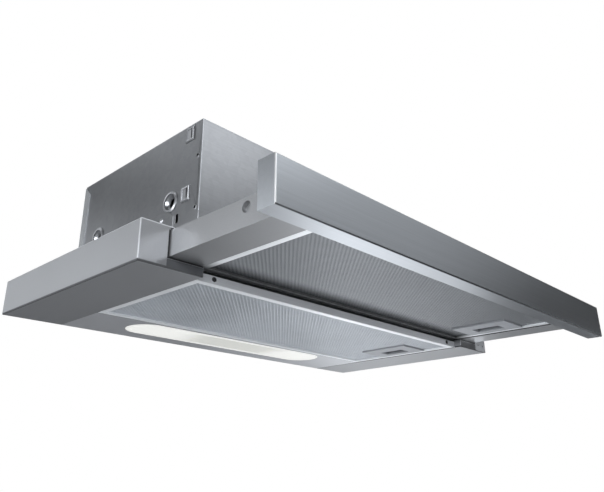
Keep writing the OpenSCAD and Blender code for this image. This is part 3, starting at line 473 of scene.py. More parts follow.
@dataclass(frozen=True)
class LampLens(Finish):
    """Frosted lens, lit from behind by its two lamps."""

    middle: float
    spread: float
    lamps: Span = (0.1, 0.42)
    patch: Colour = (0.46, 0.455, 0.39)
    glow: float = 0.50
    prism_depth: float = 0.1 * MM

    def make(self, p: Paint) -> Value:
        """A glow with a duller mottled patch between the lamps."""
        lamps = (p.along(0) - self.middle).size().eased(*(share * self.spread for share in self.lamps))
        prism = p.cells(700.0)
        light = (lamps + p.noise(60.0, 3.0) * 0.5).eased(0.2, 1.0) * 0.94 + prism * 0.12
        colour = p.mix(light.eased(0.0, 1.0), self.patch, LAMPLIGHT)
        rough = p.gloss(0.4, (prism, 0.2))
        return p.surface((*self.colour, 1.0), rough, p.bump(prism, self.prism_depth, 0.4),
                         Emission_Color=colour, Emission_Strength=self.glow)


@dataclass(frozen=True)
class ClearGlass(Finish):
    """Clear glass of a bulb, with faint streaks."""

    streaks: Point = (8.0, 300.0, 300.0)

    def make(self, p: Paint) -> Value:
        """Clear body with streaks in its gloss."""
        streak = p.drawn(self.streaks)
        colour = p.varied(streak, self.colour, 0.97, 1.0)
        rough = p.gloss(0.05, (streak, 0.06))
        return p.surface(colour, rough, p.bump(streak, FINEST, 0.3), Transmission_Weight=0.9, IOR=1.47)


@dataclass(frozen=True)
class Paper(Finish):
    """Pale matt floor of the studio, evened out for the camera."""

    level: float = 0.85
    share: float = 0.75
    fibre_depth: float = 0.2 * MM

    def make(self, p: Paint) -> Value:
        """Fibres and faint clouds."""
        fibre = p.noise(260.0, 3.0)
        tone = fibre * 0.4 + p.noise(1.3) * 0.6
        colour = p.varied(tone, self.colour, 0.98, 1.02)
        paper = p.surface(colour, p.gloss(0.85, (fibre, 0.1)), p.bump(fibre, self.fibre_depth, 0.2))
        even = p.add("Emission", {"Color": colour, "Strength": self.level})
        seen = p.add("LightPath", output="Is Camera Ray")
        return p.add("MixShader", {0: seen * self.share, 1: paper, 2: even})


def placed(name: str, data: bpy.types.ID) -> bpy.types.Object:
    """A new object in the scene."""
    made = bpy.data.objects.new(name, data)
    bpy.context.scene.collection.objects.link(made)
    return made


class Mesh:
    """Vertices and faces that become one piece."""

    def __init__(self) -> None:
        """Starts with nothing."""
        self.points: list[Vector] = []
        self.faces: list[tuple[int, ...]] = []

    def loft(self, outlines: list[list[Point]], closed: bool = False) -> "Mesh":
        """Joins outlines of equal count by faces.

        Args:
            outlines: Points round the form, for one place after the other along it.
            closed: Whether the last outline joins the first. Else both ends are filled.

        Returns:
            This mesh.
        """
        rings = []
        for outline in outlines:
            first = len(self.points)
            self.points.extend(Vector(p) for p in outline)
            rings.append(list(range(first, len(self.points))))
        for low, high in zip(rings, rings[1:] + (rings[:1] if closed else [])):
            for i, a in enumerate(low):
                j = (i + 1) % len(low)
                self.faces.append((a, low[j], high[j], high[i]))
        if not closed:
            self.faces.append(tuple(reversed(rings[0])))
            self.faces.append(tuple(rings[-1]))
        return self

    def block(self, low: Point, high: Point) -> "Mesh":
        """Adds a box between two corners."""
        (x0, y0, z0), (x1, y1, z1) = low, high
        return self.loft([[(x0, y0, z), (x1, y0, z), (x1, y1, z), (x0, y1, z)] for z in (z0, z1)])

    def piece(self, name: str, finish: Finish, slot: str, body: str = "hood",
              smooth: bool = False) -> bpy.types.Object:
        """Makes the object.

        Args:
            name: Name of the piece.
            finish: Its finish.
            slot: The record's material slot of its finish; not used.
            body: The CAD body that it rides on.
            smooth: Whether its faces are shaded smooth.

        Returns:
            The new object.
        """
        data = bpy.data.meshes.new(name)
        data.from_pydata(self.points, [], self.faces)
        data.validate()
        data.update()
        if smooth:
            data.shade_smooth()
        data.materials.append(finish.material())
        made = placed(name, data)
        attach(made, body)
        LOG.info("%s: %d faces on %s", name, len(self.faces), body)
        return made


def circle(steps: int, start: float = 0.0) -> list[Span]:
    """Cosine and sine at equal steps round a circle, from that part of the first step on."""
    turns = [2 * math.pi * (i + start) / steps for i in range(steps)]
    return [(math.cos(a), math.sin(a)) for a in turns]


def dress(finish: Finish, *nodes: str, edge: float = 0.0) -> None:
    """Gives CAD nodes a finish.

    Args:
        finish: The finish.
        nodes: Names of the nodes.
        edge: Width in metres of the bevel on their sharp edges, or zero.
    """
    for name in nodes:
        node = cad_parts[name]
        for slot in node.material_slots:
            slot.link = "OBJECT"
            slot.material = finish.material()
        if edge:
            weld = node.modifiers.new("weld", "WELD")
            weld.merge_threshold = WELD_GAP
            bevel = node.modifiers.new("edge", "BEVEL")
            bevel.width = edge
            bevel.segments = BEVEL_STEPS
            bevel.limit_method = "ANGLE"
            bevel.angle_limit = math.radians(BEVEL_ANGLE)
            bevel.harden_normals = True
        LOG.info("%s: %s", name, finish.name)


def edge_lines(box: tuple[Vector, Vector], *colours: Colour | None) -> tuple[Line, ...]:
    """Lines of painted highlight and painted shade on the edges of a box, for Paint's edge painting.

    Args:
        box: Low and high corner of the box.
        colours: For its front left, upper, lower left and lower front edges. None leaves edges out.

    Returns:
        The lines that have a colour.
    """
    low, high = box
    edges = (((1.0, 1.0, 0.0), low.x + low.y), ((0.0, 0.0, -1.0), -high.z),
             ((1.0, 0.0, 1.0), low.x + low.z), ((0.0, 1.0, 1.0), low.y + low.z))
    return tuple((*edge, colour) for edge, colour in zip(edges, colours) if colour)


def islands(node: str) -> list[tuple[Vector, Vector]]:
    """Boxes of the loose parts of a CAD node.

    Args:
        node: Name of the node.

    Returns:
        Low and high corner of each part, in the order of their places.
    """
    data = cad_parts[node].data
    keys = [tuple(round(c, 6) for c in v.co) for v in data.vertices]
    root = {key: key for key in keys}

    def top(key: Point) -> Point:
        """The point that stands for this point's part."""
        while root[key] != key:
            root[key] = root[root[key]]
            key = root[key]
        return key

    for face in data.polygons:
        first = top(keys[face.vertices[0]])
        for other in face.vertices[1:]:
            root[top(keys[other])] = first
            first = top(first)
    parts: dict[Point, list[Point]] = {}
    for key in root:
        parts.setdefault(top(key), []).append(key)
    boxes = [(Vector(map(min, *points)), Vector(map(max, *points))) for points in parts.values()]
    return sorted(boxes, key=lambda box: tuple(box[0]))


@dataclass
class Screws:
    """Pan-head screws with a cross recess, in the places of a CAD node's plain ones."""

    node: str
    body: str
    heading: Grain = Grain.Z
    head: float = 1.6 * MM
    fall: float = 0.45
    shank: float = 1.5 / 3.2
    sides: int = 32
    rings: int = 9
    crowding: float = 1.2
    centre_hole: float = 0.02
    recess_w: float = 0.75 * MM
    recess_r: float = 1.9 * MM
    recess_depth: float = 1.0 * MM
    recess_wall: float = 1.6

    def height(self, x: float, y: float, r: float) -> float:
        """Height of the head's skin over its seat at a point, for a head of radius r."""
        out = math.hypot(x, y)
        dome = self.head * (1 - self.fall * (out / r) ** 4)
        slot = max(0.0, 1 - min(abs(x), abs(y)) / (self.recess_w / 2)) ** 0.5
        reach = max(0.0, 1 - (out / self.recess_r) ** 6)
        return dome - self.recess_depth * min(1.0, slot * self.recess_wall) * reach

    def build(self, finish: Finish) -> None:
        """Builds all the node's screws as one piece."""
        mesh = Mesh()
        up = self.heading is Grain.Z
        axis, sign = (2, 1) if up else (1, -1)
        for low, high in islands(self.node):
            r = (high.x - low.x) / 2
            centre = (low + high) / 2
            tip, crown = (low[axis], high[axis]) if up else (high[axis], low[axis])
            seat = crown - sign * self.head
            rows = [(self.shank, -abs(tip - seat)), (self.shank, 0.0), (1.0, 0.0), (1.0, 0.5 * self.head)]
            for k in range(self.rings + 1):
                rows.append((1 - (k / self.rings) ** self.crowding + self.centre_hole, None))
            outlines = []
            for share, depth in rows:
                outline = []
                for cos, sin in circle(self.sides, 0.5):
                    x, y = r * share * cos, r * share * sin
                    at = seat + sign * (self.height(x, y, r) if depth is None else depth)
                    outline.append((x, y, at - centre.z) if up else (x, at - centre.y, y))
                outlines.append([centre + Vector(p) for p in outline])
            mesh.loft(outlines)
        made = mesh.piece(f"{self.node}_heads", finish, "screw_steel", self.body)
        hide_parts(self.node)


@dataclass
class Base:
    """The fixed base: its steel frame, side caps, front beam, screws, small rubber parts, a lighter plate and
    dark pieces of painted shade.
    """

    edge: float = 0.1 * MM
    buffer_inset: float = 91.0 * MM
    buffer_z: float = 4.5 * MM
    buffer_half: Span = (2.7 * MM, 2.4 * MM)
    buffer_up: float = 0.5 * MM
    buffer_root: float = 0.3 * MM
    buffer_steps: int = 24
    seal_w: float = 1.4 * MM
    seal_t: float = 0.15 * MM
    seal_gap: float = 0.35 * MM
    seal_inset: float = 0.2 * MM
    # Strip of painted shade between the filter and the right cap: its width and its span in height
    shade_strip_w: float = 0.55 * MM
    shade_strip_z: Span = (0.5 * MM, 3.0 * MM)
    plate_w: float = 29.2 * MM
    plate_h: float = 22.0 * MM
    plate_gap: float = 0.4 * MM
    plate_holes: Span = (20.4 * MM, 7.7 * MM)
    plate_hole_z: float = 8.4 * MM
    plate_hole_r: float = 1.3 * MM
    plate_steps: int = 32
    # Dark pads of painted shadow under the arms' mouths
    shade_pad_w: float = 40.2 * MM
    shade_pad_h: float = 8.4 * MM
    shade_pad_t: float = 0.1 * MM
    # Painted highlight on the caps' front left and upper edges, painted shade on their lower edges
    edge_highlight: Colour = (0.70, 0.71, 0.73)
    dull: Colour = (0.10, 0.102, 0.105)

    def build_buffers(self, finish: Finish) -> None:
        """Caps the beam's two slots with rubber buffers."""
        cap_low, cap_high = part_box("side_cap_left")[0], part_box("side_cap_right")[1]
        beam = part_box("front_beam")[0]
        z = beam.z + self.buffer_z
        half_x, half_z = self.buffer_half
        rows = ((1.0, self.buffer_root), (1.0, -0.6 * self.buffer_up), (0.8, -self.buffer_up))
        for name, x in (("left", cap_low.x + self.buffer_inset), ("right", cap_high.x - self.buffer_inset)):
            outlines = [[(x + share * half_x * cos, beam.y + y, z + share * half_z * sin)
                         for cos, sin in circle(self.buffer_steps)] for share, y in rows]
            Mesh().loft(outlines).piece(f"beam_buffer_{name}", finish, "gland_plastic")

    def build_seals(self, finish: Finish) -> None:
        """Puts a lip round the outer side and the foot of each arm's mouth."""
        for side, sign in SIDES:
            low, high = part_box(f"visor_arm_{side}")
            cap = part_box(f"side_cap_{side}")
            out = max(abs(low.x), abs(high.x)) + self.seal_gap
            inner = min(abs(low.x), abs(high.x)) + self.seal_inset
            foot = low.z - self.seal_gap
            shape = [(inner, foot - self.seal_w), (out + self.seal_w, foot - self.seal_w),
                     (out + self.seal_w, high.z), (out, high.z), (out, foot), (inner, foot)]
            if sign > 0:
                shape.reverse()
            outlines = [[(sign * x, y, z) for x, z in shape] for y in (cap[0].y - self.seal_t, cap[0].y)]
            Mesh().loft(outlines).piece(f"arm_seal_{side}", finish, "gland_plastic")

    def build_shade_strip(self, finish: Finish) -> None:
        """Puts a dark strip of painted shade in the gap between the filter and the right cap."""
        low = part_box("base_filter_frame")[0]
        cap_low, cap_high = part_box("side_cap_right")
        strip = Mesh().block((cap_low.x - self.shade_strip_w, low.y, low.z + self.shade_strip_z[0]),
                             (cap_low.x, cap_high.y - self.seal_w, low.z + self.shade_strip_z[1]))
        strip.piece("cap_shade_strip", finish, "gland_plastic")

    def build_plate(self, finish: Finish) -> None:
        """Puts a plate with two holes on the front of the right cap, in a lighter tone that is painted light.
        """
        low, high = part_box("side_cap_right")
        x0, x1 = high.x - self.plate_w, high.x - self.plate_gap
        z0, z1 = low.z + self.plate_gap, low.z + self.plate_h
        holes = [(high.x - inset, low.z + self.plate_hole_z) for inset in self.plate_holes]
        edges = [x0, (holes[0][0] + holes[1][0]) / 2, x1]
        mesh = Mesh()
        for (left, right), (cx, cz) in zip(zip(edges, edges[1:]), holes):
            outer, inner = [], []
            for cos, sin in circle(self.plate_steps, 0.5):
                reach = min(((right if cos > 0 else left) - cx) / cos, ((z1 if sin > 0 else z0) - cz) / sin)
                outer.append((cx + cos * reach, cz + sin * reach))
                inner.append((cx + cos * self.plate_hole_r, cz + sin * self.plate_hole_r))
            rows = ((outer, 0.0), (outer, self.seal_t), (inner, self.seal_t), (inner, 0.0))
            mesh.loft([[(x, low.y - t, z) for x, z in outline] for outline, t in rows], closed=True)
        mesh.piece("cap_plate", finish, "cap_paint")

    def build_shade_pads(self, finish: Finish) -> None:
        """Puts a dark pad of painted shadow, cast by the arm, under each arm's mouth."""
        for side, sign in SIDES:
            low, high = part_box(f"side_cap_{side}")
            inner = min(abs(low.x), abs(high.x)) + self.plate_gap
            x0, x1 = sorted((sign * inner, sign * (inner + self.shade_pad_w)))
            pad = Mesh().block((x0, low.y - self.shade_pad_t, low.z + 2 * self.plate_gap),
                               (x1, low.y, low.z + self.shade_pad_h))
            pad.piece(f"cap_shade_pad_{side}", finish, "gland_plastic")

    def dress(self) -> None:
        """Finishes the base's nodes."""
        for side, _ in SIDES:
            # Painted highlight on the front left and upper edges, painted shade on the lower ones
            edge_light = edge_lines(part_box(f"side_cap_{side}"), self.edge_highlight, self.edge_highlight, self.dull, self.dull)
            paint = SatinPaint(f"cap_paint_{side}", (0.330, 0.335, 0.346), 0.36, edge_light=edge_light)
            dress(paint, f"side_cap_{side}", edge=self.edge)
        dress(Zinc("base_steel", (0.30, 0.31, 0.33), 0.42), "base_frame")
        dress(BrushedSteel("beam_steel", (0.801, 0.810, 0.828), 0.36, metallic=0.5), "front_beam")
        # Black rubber for the buffers and seals, and also for the strip of painted shade
        rubber = Plastic("rubber", (0.01, 0.01, 0.011), 0.6, FINE)
        self.build_buffers(rubber)
        self.build_seals(rubber)
        self.build_shade_strip(rubber)
        # A lighter plate that paints the light on the right cap's front
        self.build_plate(Zinc("cap_plate_lit", (0.62, 0.63, 0.65), 0.4))
        # Dark pads of painted shadow under the arms
        self.build_shade_pads(Plastic("shade_pad_black", (0.06, 0.062, 0.066), 0.45, FINE))
        Screws("cap_screws", "hood").build(Metal("cap_screw_zinc", (0.62, 0.62, 0.64), 0.3, Grain.Z))


@dataclass
class Lamp:
    """The lamp bay: panel, lens, reflector, holders and bulbs."""

    shift: float = 2.5 * MM

    def dress(self) -> None:
        """Finishes the lamp's nodes."""
        low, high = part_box("lamp_lens")
        middle = (low + high) / 2
        half = (high - low) / 2
        rim = Pill((middle.x - self.shift, middle.y), half.x - self.shift, half.y)
        dress(SatinPaint("lamp_panel_paint", (0.600, 0.607, 0.627), 0.36, border=rim), "lamp_panel")
        dress(LampLens("lens_frost", LENS, middle.x, 2 * half.x), "lamp_lens")
        dress(Metal("reflector_aluminium", (0.85, 0.85, 0.86), 0.16), "lamp_reflector")
        dress(Plastic("holder_ceramic", (0.82, 0.80, 0.76), 0.45, FINE, 0.9 * MM), "lamp_holders")
        dress(ClearGlass("bulb_glass", (0.96, 0.97, 0.97)), "lamp_bulb_left", "lamp_bulb_right")


@dataclass
class Housing:
    """The blower housing with its box, gland and left side's small forms, whose places are in mm."""

    edge: float = 0.3 * MM
    tabs: tuple[Span, ...] = ((-106.75, -13.8), (-104.25, -83.3))
    tab_size: Span = (13.8, 17.0)
    tab_open: Span = (9.0, 12.2)
    tab_lap: float = 0.5
    tab_leaf: float = 7.0
    leaf_x: Span = (-0.2 * MM, 0.6 * MM)
    bosses: tuple[Span, ...] = ((-78.25, -84.3), (70.75, -84.3))
    boss_radii: Span = (12.2, 9.2)
    rivet_at: Span = (-64.85, -102.6)
    rivet_radius: float = 3.4
    rivet_rows: int = 6
    rivet_root: float = 0.3 * MM
    proud: float = 0.9 * MM
    inner_share: float = 0.8
    crest: Span = (0.55, 0.45)
    steps: int = 40
    # Colour of painted highlight on the housing top's edges
    edge_highlight: Colour = (0.44, 0.45, 0.47)

    def side(self) -> float:
        """Place of the left side along X."""
        return min(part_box("housing_back")[0].x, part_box("housing_top")[0].x)

    def frame_ring(self, name: str, outer: list[Span], inner: list[Span], finish: Finish) -> None:
        """A raised ring on the left side, sloped on its outside.

        Args:
            name: Name of the piece.
            outer: Its outline as places along Y and Z in millimetres.
            inner: Its opening, with as many points.
            finish: Its finish.
        """
        side = self.side()
        a, b = self.crest
        crest = [(a * y0 + b * y1, a * z0 + b * z1) for (y0, z0), (y1, z1) in zip(outer, inner)]
        rows = ((inner, 0.0), (inner, -self.proud * self.inner_share), (crest, -self.proud), (outer, 0.0))
        outlines = [[(side + x, y * MM, z * MM) for y, z in outline] for outline, x in rows]
        Mesh().loft(outlines, closed=True).piece(name, finish, "housing_steel")

    def build_forms(self, finish: Finish) -> None:
        """Builds the tabs' rims and leaves, the rings of the fixing holes and a rivet."""
        side = self.side()
        for n, (y, z) in enumerate(self.tabs, 1):
            rims = [[(y + a * width / 2, z + b * height / 2) for a, b in CORNERS]
                    for width, height in (self.tab_size, self.tab_open)]
            self.frame_ring(f"tab_rim_{n}", *rims, finish)
            half_y, half_z = (size / 2 + self.tab_lap for size in self.tab_open)
            rear = y + half_y
            leaf = Mesh().block((side + self.leaf_x[0], (rear - self.tab_leaf) * MM, (z - half_z) * MM),
                                (side + self.leaf_x[1], rear * MM, (z + half_z) * MM))
            leaf.piece(f"tab_leaf_{n}", finish, "housing_steel")
        for n, (y, z) in enumerate(self.bosses, 1):
            rims = [[(y + r * cos, z + r * sin) for cos, sin in circle(self.steps)] for r in self.boss_radii]
            self.frame_ring(f"boss_ring_{n}", *rims, finish)
        y, z = self.rivet_at
        outlines = []
        for k in range(self.rivet_rows):
            a = math.pi / 2 * k / self.rivet_rows
            r = self.rivet_radius * math.cos(a)
            x = side + self.rivet_root - 2 * self.proud * math.sin(a)
            outlines.append([(x, (y - r * cos) * MM, (z + r * sin) * MM) for cos, sin in circle(self.steps)])
        Mesh().loft(outlines).piece("housing_rivet", finish, "housing_steel", smooth=True)

    def dress(self) -> None:
        """Finishes the housing's nodes."""
        # Painted highlight on the top's front left and upper edges
        edge_light = edge_lines(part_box("housing_top"), self.edge_highlight, self.edge_highlight)
        shell = Zinc("housing_zinc", (0.270, 0.275, 0.285), 0.30, edge_light=edge_light)
        dress(shell, "housing_shell", "housing_top", edge=self.edge)
        # A lighter zinc than the housing side on its raised forms: on the rims and rings, pressed from that
        # side, the lighter tone is painted light
        self.build_forms(Zinc("form_zinc_lit", (0.42, 0.426, 0.44), 0.3))
        dress(Zinc("housing_back_zinc", (0.38, 0.39, 0.40), 0.42, Grain.Z), "housing_back")
        dress(Plastic("box_plastic", (0.58, 0.58, 0.56), 0.48), "terminal_box")
        dress(Plastic("lid_plastic", (0.62, 0.62, 0.60), 0.44, FINE, 0.8 * MM), "terminal_lid")
        dress(Plastic("gland_plastic", (0.045, 0.045, 0.05), 0.4, FINE), "cable_gland")
        Screws("housing_screws", "hood").build(Metal("housing_screw_zinc", (0.6, 0.6, 0.6), 0.32, Grain.Z))


class Duct:
    """The duct collar and its back-draught flap."""

    def dress(self) -> None:
        """Finishes the duct's nodes."""
        dress(Plastic("collar_plastic", (0.10, 0.10, 0.105), 0.46), "duct_collar")
        dress(Plastic("flap_plastic", (0.16, 0.16, 0.165), 0.40, FINE), "flap_front", "flap_back")
        dress(Metal("pin_steel", (0.66, 0.66, 0.68), 0.22), "flap_pin")


class Blower:
    """The centrifugal blower: scroll, impeller, motor and capacitor."""

    def dress(self) -> None:
        """Finishes the blower's nodes."""
        scroll = Zinc("scroll_zinc", (0.44, 0.45, 0.46), 0.36)
        dress(scroll, "scroll_wrap", "scroll_side_left", "scroll_side_right")
        dress(Zinc("bracket_zinc", (0.38, 0.39, 0.40), 0.34, Grain.Z), "motor_bracket")
        dress(Metal("stator_steel", (0.36, 0.36, 0.38), 0.45), "motor_stator", "motor_rotor")
        dress(Metal("end_cap_cast", (0.55, 0.55, 0.56), 0.42, Grain.Z), "motor_end_cap")
        dress(Metal("shaft_steel", (0.7, 0.7, 0.72), 0.18), "motor_shaft", "motor_bearings")
        dress(Plastic("capacitor_plastic", (0.74, 0.74, 0.72), 0.42), "capacitor")
        dress(Plastic("impeller_plastic", (0.06, 0.06, 0.065), 0.42), "fan_impeller")


class Runners:
    """Ball runners of the visor."""

    def dress(self) -> None:
        """Finishes the runners' nodes on both sides."""
        outer = Zinc("runner_zinc", (0.55, 0.56, 0.57), 0.30, Grain.Y, 1.0)
        inner = Zinc("runner_inner_zinc", (0.6, 0.6, 0.61), 0.28, Grain.Y, 1.0)
        dress(outer, "runner_outer_left", "runner_outer_right")
        dress(inner, "runner_inner_left", "runner_inner_right")
        dress(Metal("cage_brass", (0.72, 0.58, 0.28), 0.3, Grain.Y), "ball_cage_left", "ball_cage_right")
        dress(Metal("ball_steel", (0.78, 0.78, 0.8), 0.12), "runner_balls_left", "runner_balls_right")


@dataclass
class Visor:
    """The visor: fascia, arms, top plate, rail, controls and screws."""

    fascia_edge: float = 0.12 * MM
    # Painted shade on the fascia's lower front edge, and a painted shadow that darkens it towards the right
    fascia_foot_shade: Colour = (0.26, 0.27, 0.28)
    shadow: Colour = (0.03, 0.031, 0.033)
    shadow_lean: float = 0.002
    arm_edge: float = 0.5 * MM
    # Painted shade on the right arm's lower inner edge
    arm_edge_shade: Colour = (0.05, 0.051, 0.053)
    # Shares of the arm paint's colour for the left and right arm: the right arm's lighter copy is painted
    # light
    arm_light_shares: Span = (1.03, 1.65)
    # Strip of painted shade beside the right arm: its width, gap and height
    shade_strip_w: float = 0.8 * MM
    shade_strip_gap: float = 0.05 * MM
    shade_strip_h: float = 3.0 * MM

    def dress_fascia(self) -> None:
        """Finishes the fascia, with a painted highlight on its front left edge, painted shade on its lower
        front edge and a painted shadow that darkens that edge towards the right.
        """
        low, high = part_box("visor_fascia")
        lean = self.shadow_lean
        shadow = ((-lean, 1.0, 1.0), low.y + low.z - lean * high.x, self.shadow)
        # Painted highlight on the front left edge, painted shade on the lower front edge, and the painted
        # shadow
        edge_light = (*edge_lines((low, high), HIGHLIGHT_WHITE, None, None, self.fascia_foot_shade), shadow)
        steel = BrushedSteel("fascia_steel", (0.428, 0.446, 0.469), 0.33, Grain.X, 0.06, edge_light=edge_light)
        dress(steel, "visor_fascia", edge=self.fascia_edge)

    def build_shade_strip(self, finish: Finish) -> None:
        """Puts a dark strip of painted shade in the gap between the filter and the right arm."""
        low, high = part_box("visor_filter_frame")
        x1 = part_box("visor_arm_right")[0].x - self.shade_strip_gap
        strip = Mesh().block((x1 - self.shade_strip_w, low.y, low.z), (x1, high.y, low.z + self.shade_strip_h))
        strip.piece("arm_shade_strip", finish, "gland_plastic", "visor")

    def dress(self) -> None:
        """Finishes the visor's nodes."""
        self.dress_fascia()
        # The right arm's paint is a lighter copy, painted light, with painted shade on its lower inner edge
        for (side, sign), tone in zip(SIDES, self.arm_light_shares):
            foot = self.arm_edge_shade if sign > 0 else None
            lines = edge_lines(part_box(f"visor_arm_{side}"), None, None, foot)
            paint = SatinPaint(f"arm_paint_{side}", shade((0.263, 0.266, 0.273), tone), 0.35, edge_light=lines)
            dress(paint, f"visor_arm_{side}", edge=self.arm_edge)
        dress(Zinc("visor_zinc", (0.32, 0.33, 0.34), 0.4), "visor_top_plate", "visor_rear_rail")
        dress(Plastic("control_plastic", (0.06, 0.06, 0.065), 0.45), "control_box")
        dress(Plastic("knob_plastic", (0.12, 0.12, 0.125), 0.38, FINE), "speed_knob", "lamp_knob")
        screw = Metal("visor_screw_zinc", (0.6, 0.6, 0.6), 0.32, Grain.Z)
        Screws("visor_screws", "visor", Grain.Y).build(screw)
        # A black strip of painted shade beside the right arm
        self.build_shade_strip(Plastic("shade_strip_black", (0.01, 0.01, 0.011), 0.6, FINE))


def cross_box(start: Vector, way: Vector, low: Vector, high: Vector, grow: float) -> Span | None:
    """Where a level line crosses a box seen from above.

    Args:
        start: A point of the line.
        way: Its direction.
        low: Low corner of the box.
        high: High corner of the box.
        grow: How far the box's sides are moved out.

    Returns:
        Distances from the start at which it enters and leaves, or None.
    """
    enter, leave = -math.inf, math.inf
    for i in (0, 1):
        ends = sorted(((low[i] - grow - start[i]) / way[i], (high[i] + grow - start[i]) / way[i]))
        enter, leave = max(enter, ends[0]), min(leave, ends[1])
    return (enter, leave) if leave > enter else None


@dataclass
class GreaseFilter:
    """A grease filter: frame, ribbed mesh face, filling, latch plate and latch."""

    name: str
    latch_plate: str
    latch: str
    # Span along Y of painted shade
    shade_span: Span | None = None
    # Share of the face's and layers' colour: below one, a darker copy that is painted shade
    tone: float = 1.0
    wire: float = 0.42 * MM
    relief: float = 0.46 * MM
    pitch: float = 3.52 * MM
    rib: float = 2.8 * MM
    crest: float = 0.9 * MM
    skin: float = 0.12 * MM
    lift: float = 0.15 * MM
    wire_up: float = 0.08 * MM
    wire_pitch: float = 1.2 * MM
    margin: float = 0.4 * MM
    end_share: float = 0.75
    # Colour of the painted shade line along the frame's right edge
    gap: Colour = (0.03, 0.03, 0.032)

    def spans(self, boxes: tuple, start: Vector, way: Vector, half: float) -> list[Span]:
        """Where a strip of that half width runs in the face and off the latch plate.

        Args:
            boxes: The corners of the face and those of the latch plate.
            start: A point of the strip's middle line.
            way: Its direction, level and of length one.
            half: Half its width.

        Returns:
            Pairs of distances from the start.
        """
        edge = self.margin + half * self.end_share
        inside = cross_box(start, way, *boxes[0], -edge)
        if inside is None:
            return []
        cut = cross_box(start, way, *boxes[1], edge)
        if cut is None or cut[1] < inside[0] or cut[0] > inside[1]:
            return [inside]
        parts = [(inside[0], cut[0]), (cut[1], inside[1])]
        return [(a, b) for a, b in parts if b - a > 2 * self.pitch]

    def build_face(self, finish: Finish) -> None:
        """Builds ribs and crossed wires over the CAD mesh and hides that."""
        low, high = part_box(f"{self.name}_mesh")
        boxes = ((low, high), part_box(self.latch_plate))
        middle = (low + high) / 2
        reach = (high - low).length / 2
        across, along = Vector((1, -1, 0)).normalized(), Vector((1, 1, 0)).normalized()
        z0 = low.z + self.lift
        z1 = z0 + self.relief
        z2 = z1 + self.skin
        half, top, thin = self.rib / 2, self.crest / 2, self.wire / 2
        rib = [(-half, z2), (half, z2), (half, z1), (top, z0), (-top, z0), (-half, z1)]
        foot, back = z0 - self.wire_up, z0 + self.skin
        wire = [(-thin, foot), (thin, foot), (thin, back), (-thin, back)]
        mesh = Mesh()
        rows = ((rib, half, self.pitch, across, along), (wire, thin, self.wire_pitch, along, across))
        for profile, width, pitch, side, way in rows:
            count = math.ceil(reach / pitch)
            for k in range(-count, count + 1):
                start = middle + side * (k * pitch)
                for ends in self.spans(boxes, start, way, width):
                    outlines = []
                    for end in ends:
                        line = [start + side * u + way * end for u, _ in profile]
                        outlines.append([(p.x, p.y, z) for p, (_, z) in zip(line, profile)])
                    mesh.loft(outlines)
        made = mesh.piece(f"{self.name}_face", finish, "filter_mesh_metal", self.name)
        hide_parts(f"{self.name}_mesh")

    def dress(self) -> None:
        """Finishes the filter's nodes and builds its face."""
        name, shade_span = self.name, self.shade_span
        low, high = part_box(f"{self.name}_frame")
        # Painted highlight on the frame's front edge and painted shade on its right edge
        edge_light = (((0.0, 1.0, 0.0), low.y, HIGHLIGHT_WHITE), ((-1.0, 0.0, 0.0), -high.x, self.gap))
        rim = BrushedSteel(f"{name}_frame_metal", (0.90, 0.915, 0.93), 0.34, Grain.X, 0.04, 0.4, shade_span, edge_light)
        dress(rim, f"{name}_frame")
        dress(LayeredMesh(f"{name}_layers", shade((0.30, 0.312, 0.33), self.tone), shade_span=shade_span), f"{name}_core")
        dress(Plastic(f"{name}_plate_plastic", (0.33, 0.34, 0.36), 0.42, FINE), self.latch_plate)
        dress(Plastic(f"{name}_latch_plastic", (0.16, 0.165, 0.175), 0.42, FINE), self.latch)
        face = shade((0.647, 0.669, 0.696), self.tone)
        self.build_face(StrandMetal(f"{name}_strand_metal", face, shade_span=shade_span))


@dataclass(frozen=True)
class Softbox:
    """A square soft studio light that the camera doesn't see."""

    name: str
    at: Point
    size: float
    power: float
    tint: Colour = (0.935, 0.965, 1.0)

    def make(self) -> None:
        """Adds the light."""
        light = bpy.data.lights.new(self.name, "AREA")
        light.shape = "SQUARE"
        light.size = self.size
        light.energy = self.power * LEVEL
        light.color = self.tint
        made = placed(self.name, light)
        made.location = self.at
        made.rotation_euler = (Vector(AIM) - Vector(self.at)).to_track_quat("-Z", "Y").to_euler()
        made.visible_camera = False


# Name, place, size and power of each softbox, then the aim and level of all
LIGHTS = (
    ("front_left", (-1.766, -1.670, 0.214), 1.1, 49.0),
    ("right_low", (2.134, -0.456, -0.502), 0.9, 21.3),
    ("left_low", (-2.134, 0.296, -0.502), 1.1, 19.8),
    ("left_back", (-2.058, 1.108, 0.214), 1.0, 8.9),
    ("front_high", (0.919, -1.672, 1.423), 1.0, 8.6),
    ("right_back_low", (1.334, 0.690, -0.838), 0.6, 1.65),
    ("back_low_a", (1.15, 0.78, -0.85), 0.45, 0.50),
    ("back_low_b", (0.91, 0.86, -0.89), 0.45, 0.50),
    ("front_low", (-0.741, -2.116, -0.502), 1.0, 3.0),
    ("back_high", (-0.919, 1.512, 1.423), 1.0, 3.0),
    ("back_left", (-1.10, 2.02, 0.214), 1.0, 2.6),
    ("front_right", (1.629, -1.547, 0.856), 1.0, 2.2),
    ("edge", (-1.65, -1.40, 0.95), 0.7, 3.0),
    ("left_high", (-1.40, 0.35, 1.90), 0.8, 2.5),
    ("back_top", (0.75, 1.90, 1.20), 0.7, 3.0),
)
AIM = (0.0, -0.08, -0.1)
LEVEL = 1.04


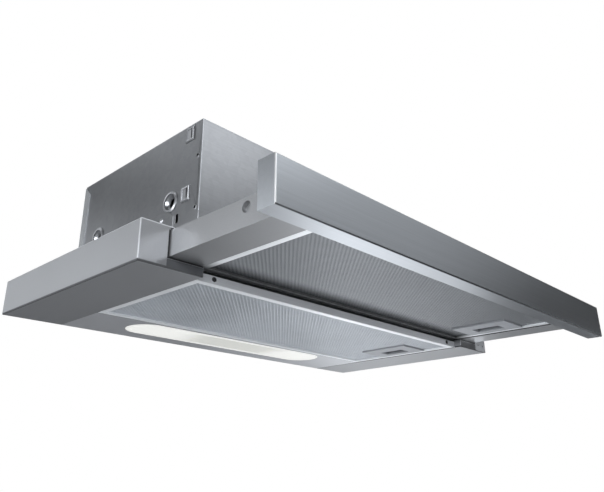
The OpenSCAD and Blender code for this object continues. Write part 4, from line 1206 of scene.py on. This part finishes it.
@dataclass
class Studio:
    """Pale floor, soft light, white surround and the photograph's camera."""

    floor_z: float = -1.25
    floor_half: float = 4.0
    grey: float = 0.02
    camera_at: Point = (-0.563282, -0.58865, -0.354254)
    right: Point = (0.6986, -0.7155, -0.0012)
    up: Point = (-0.2634, -0.2588, 0.9293)
    lens: float = 37.042
    sensor: float = 36.0
    near: float = 0.01
    shift: Span = (0.02185, -0.02824)

    def build_floor(self) -> None:
        """Lays the floor."""
        data = bpy.data.meshes.new("floor")
        corners = [(a * self.floor_half, b * self.floor_half, self.floor_z) for a, b in CORNERS]
        data.from_pydata(corners, [], [(0, 1, 2, 3)])
        data.materials.append(Paper("floor_paper", (0.82, 0.82, 0.83)).material())
        floor = placed("floor", data)

    def build_surround(self) -> None:
        """White behind the object, and a softer grey that lights it."""
        world = Paint("surround", bpy.data.worlds)
        lit = world.add("Background", {"Color": (self.grey, self.grey, self.grey, 1)})
        seen = world.add("Background", {"Color": (1, 1, 1, 1)})
        path = world.add("LightPath", output="Is Camera Ray")
        both = world.add("MixShader", {0: path, 1: lit, 2: seen})
        world.add("OutputWorld", {"Surface": both})
        bpy.context.scene.world = world.data

    def build_camera(self) -> None:
        """Sets the camera where the photograph was taken."""
        data = bpy.data.cameras.new("camera")
        data.lens = self.lens
        data.sensor_width = self.sensor
        data.sensor_fit = "HORIZONTAL"
        data.shift_x, data.shift_y = self.shift
        data.clip_start = self.near
        right = Vector(self.right).normalized()
        back = right.cross(Vector(self.up)).normalized()
        turn = Matrix((right, back.cross(right), back)).transposed()
        camera = placed("camera", data)
        camera.matrix_world = Matrix.Translation(self.camera_at) @ turn.to_4x4()
        bpy.context.scene.camera = camera

    def build(self) -> None:
        """Builds the whole studio."""
        self.build_floor()
        self.build_surround()
        self.build_camera()
        for row in LIGHTS:
            Softbox(*row).make()
        view = bpy.context.scene.view_settings
        view.view_transform = "Standard"
        view.look = "None"


def main() -> None:
    """Dresses each sub-assembly and both filters, and builds the studio."""
    logging.basicConfig(level=logging.INFO, format="%(name)s %(message)s")
    for assembly in (Base(), Lamp(), Housing(), Duct(), Blower(), Runners(), Visor()):
        assembly.dress()
    GreaseFilter("base_filter", "base_latch_plate", "base_latch").dress()
    # The visor filter darkens into painted shade near the beam, and its half tone is painted shade too
    GreaseFilter("visor_filter", "visor_latch_plate", "visor_latch", shade_span=(-0.1800, -0.1440), tone=0.50,
                 wire=0.6 * MM, relief=0.15 * MM, rib=3.2 * MM).dress()
    Studio().build()


if __name__ == "__main__":
    main()
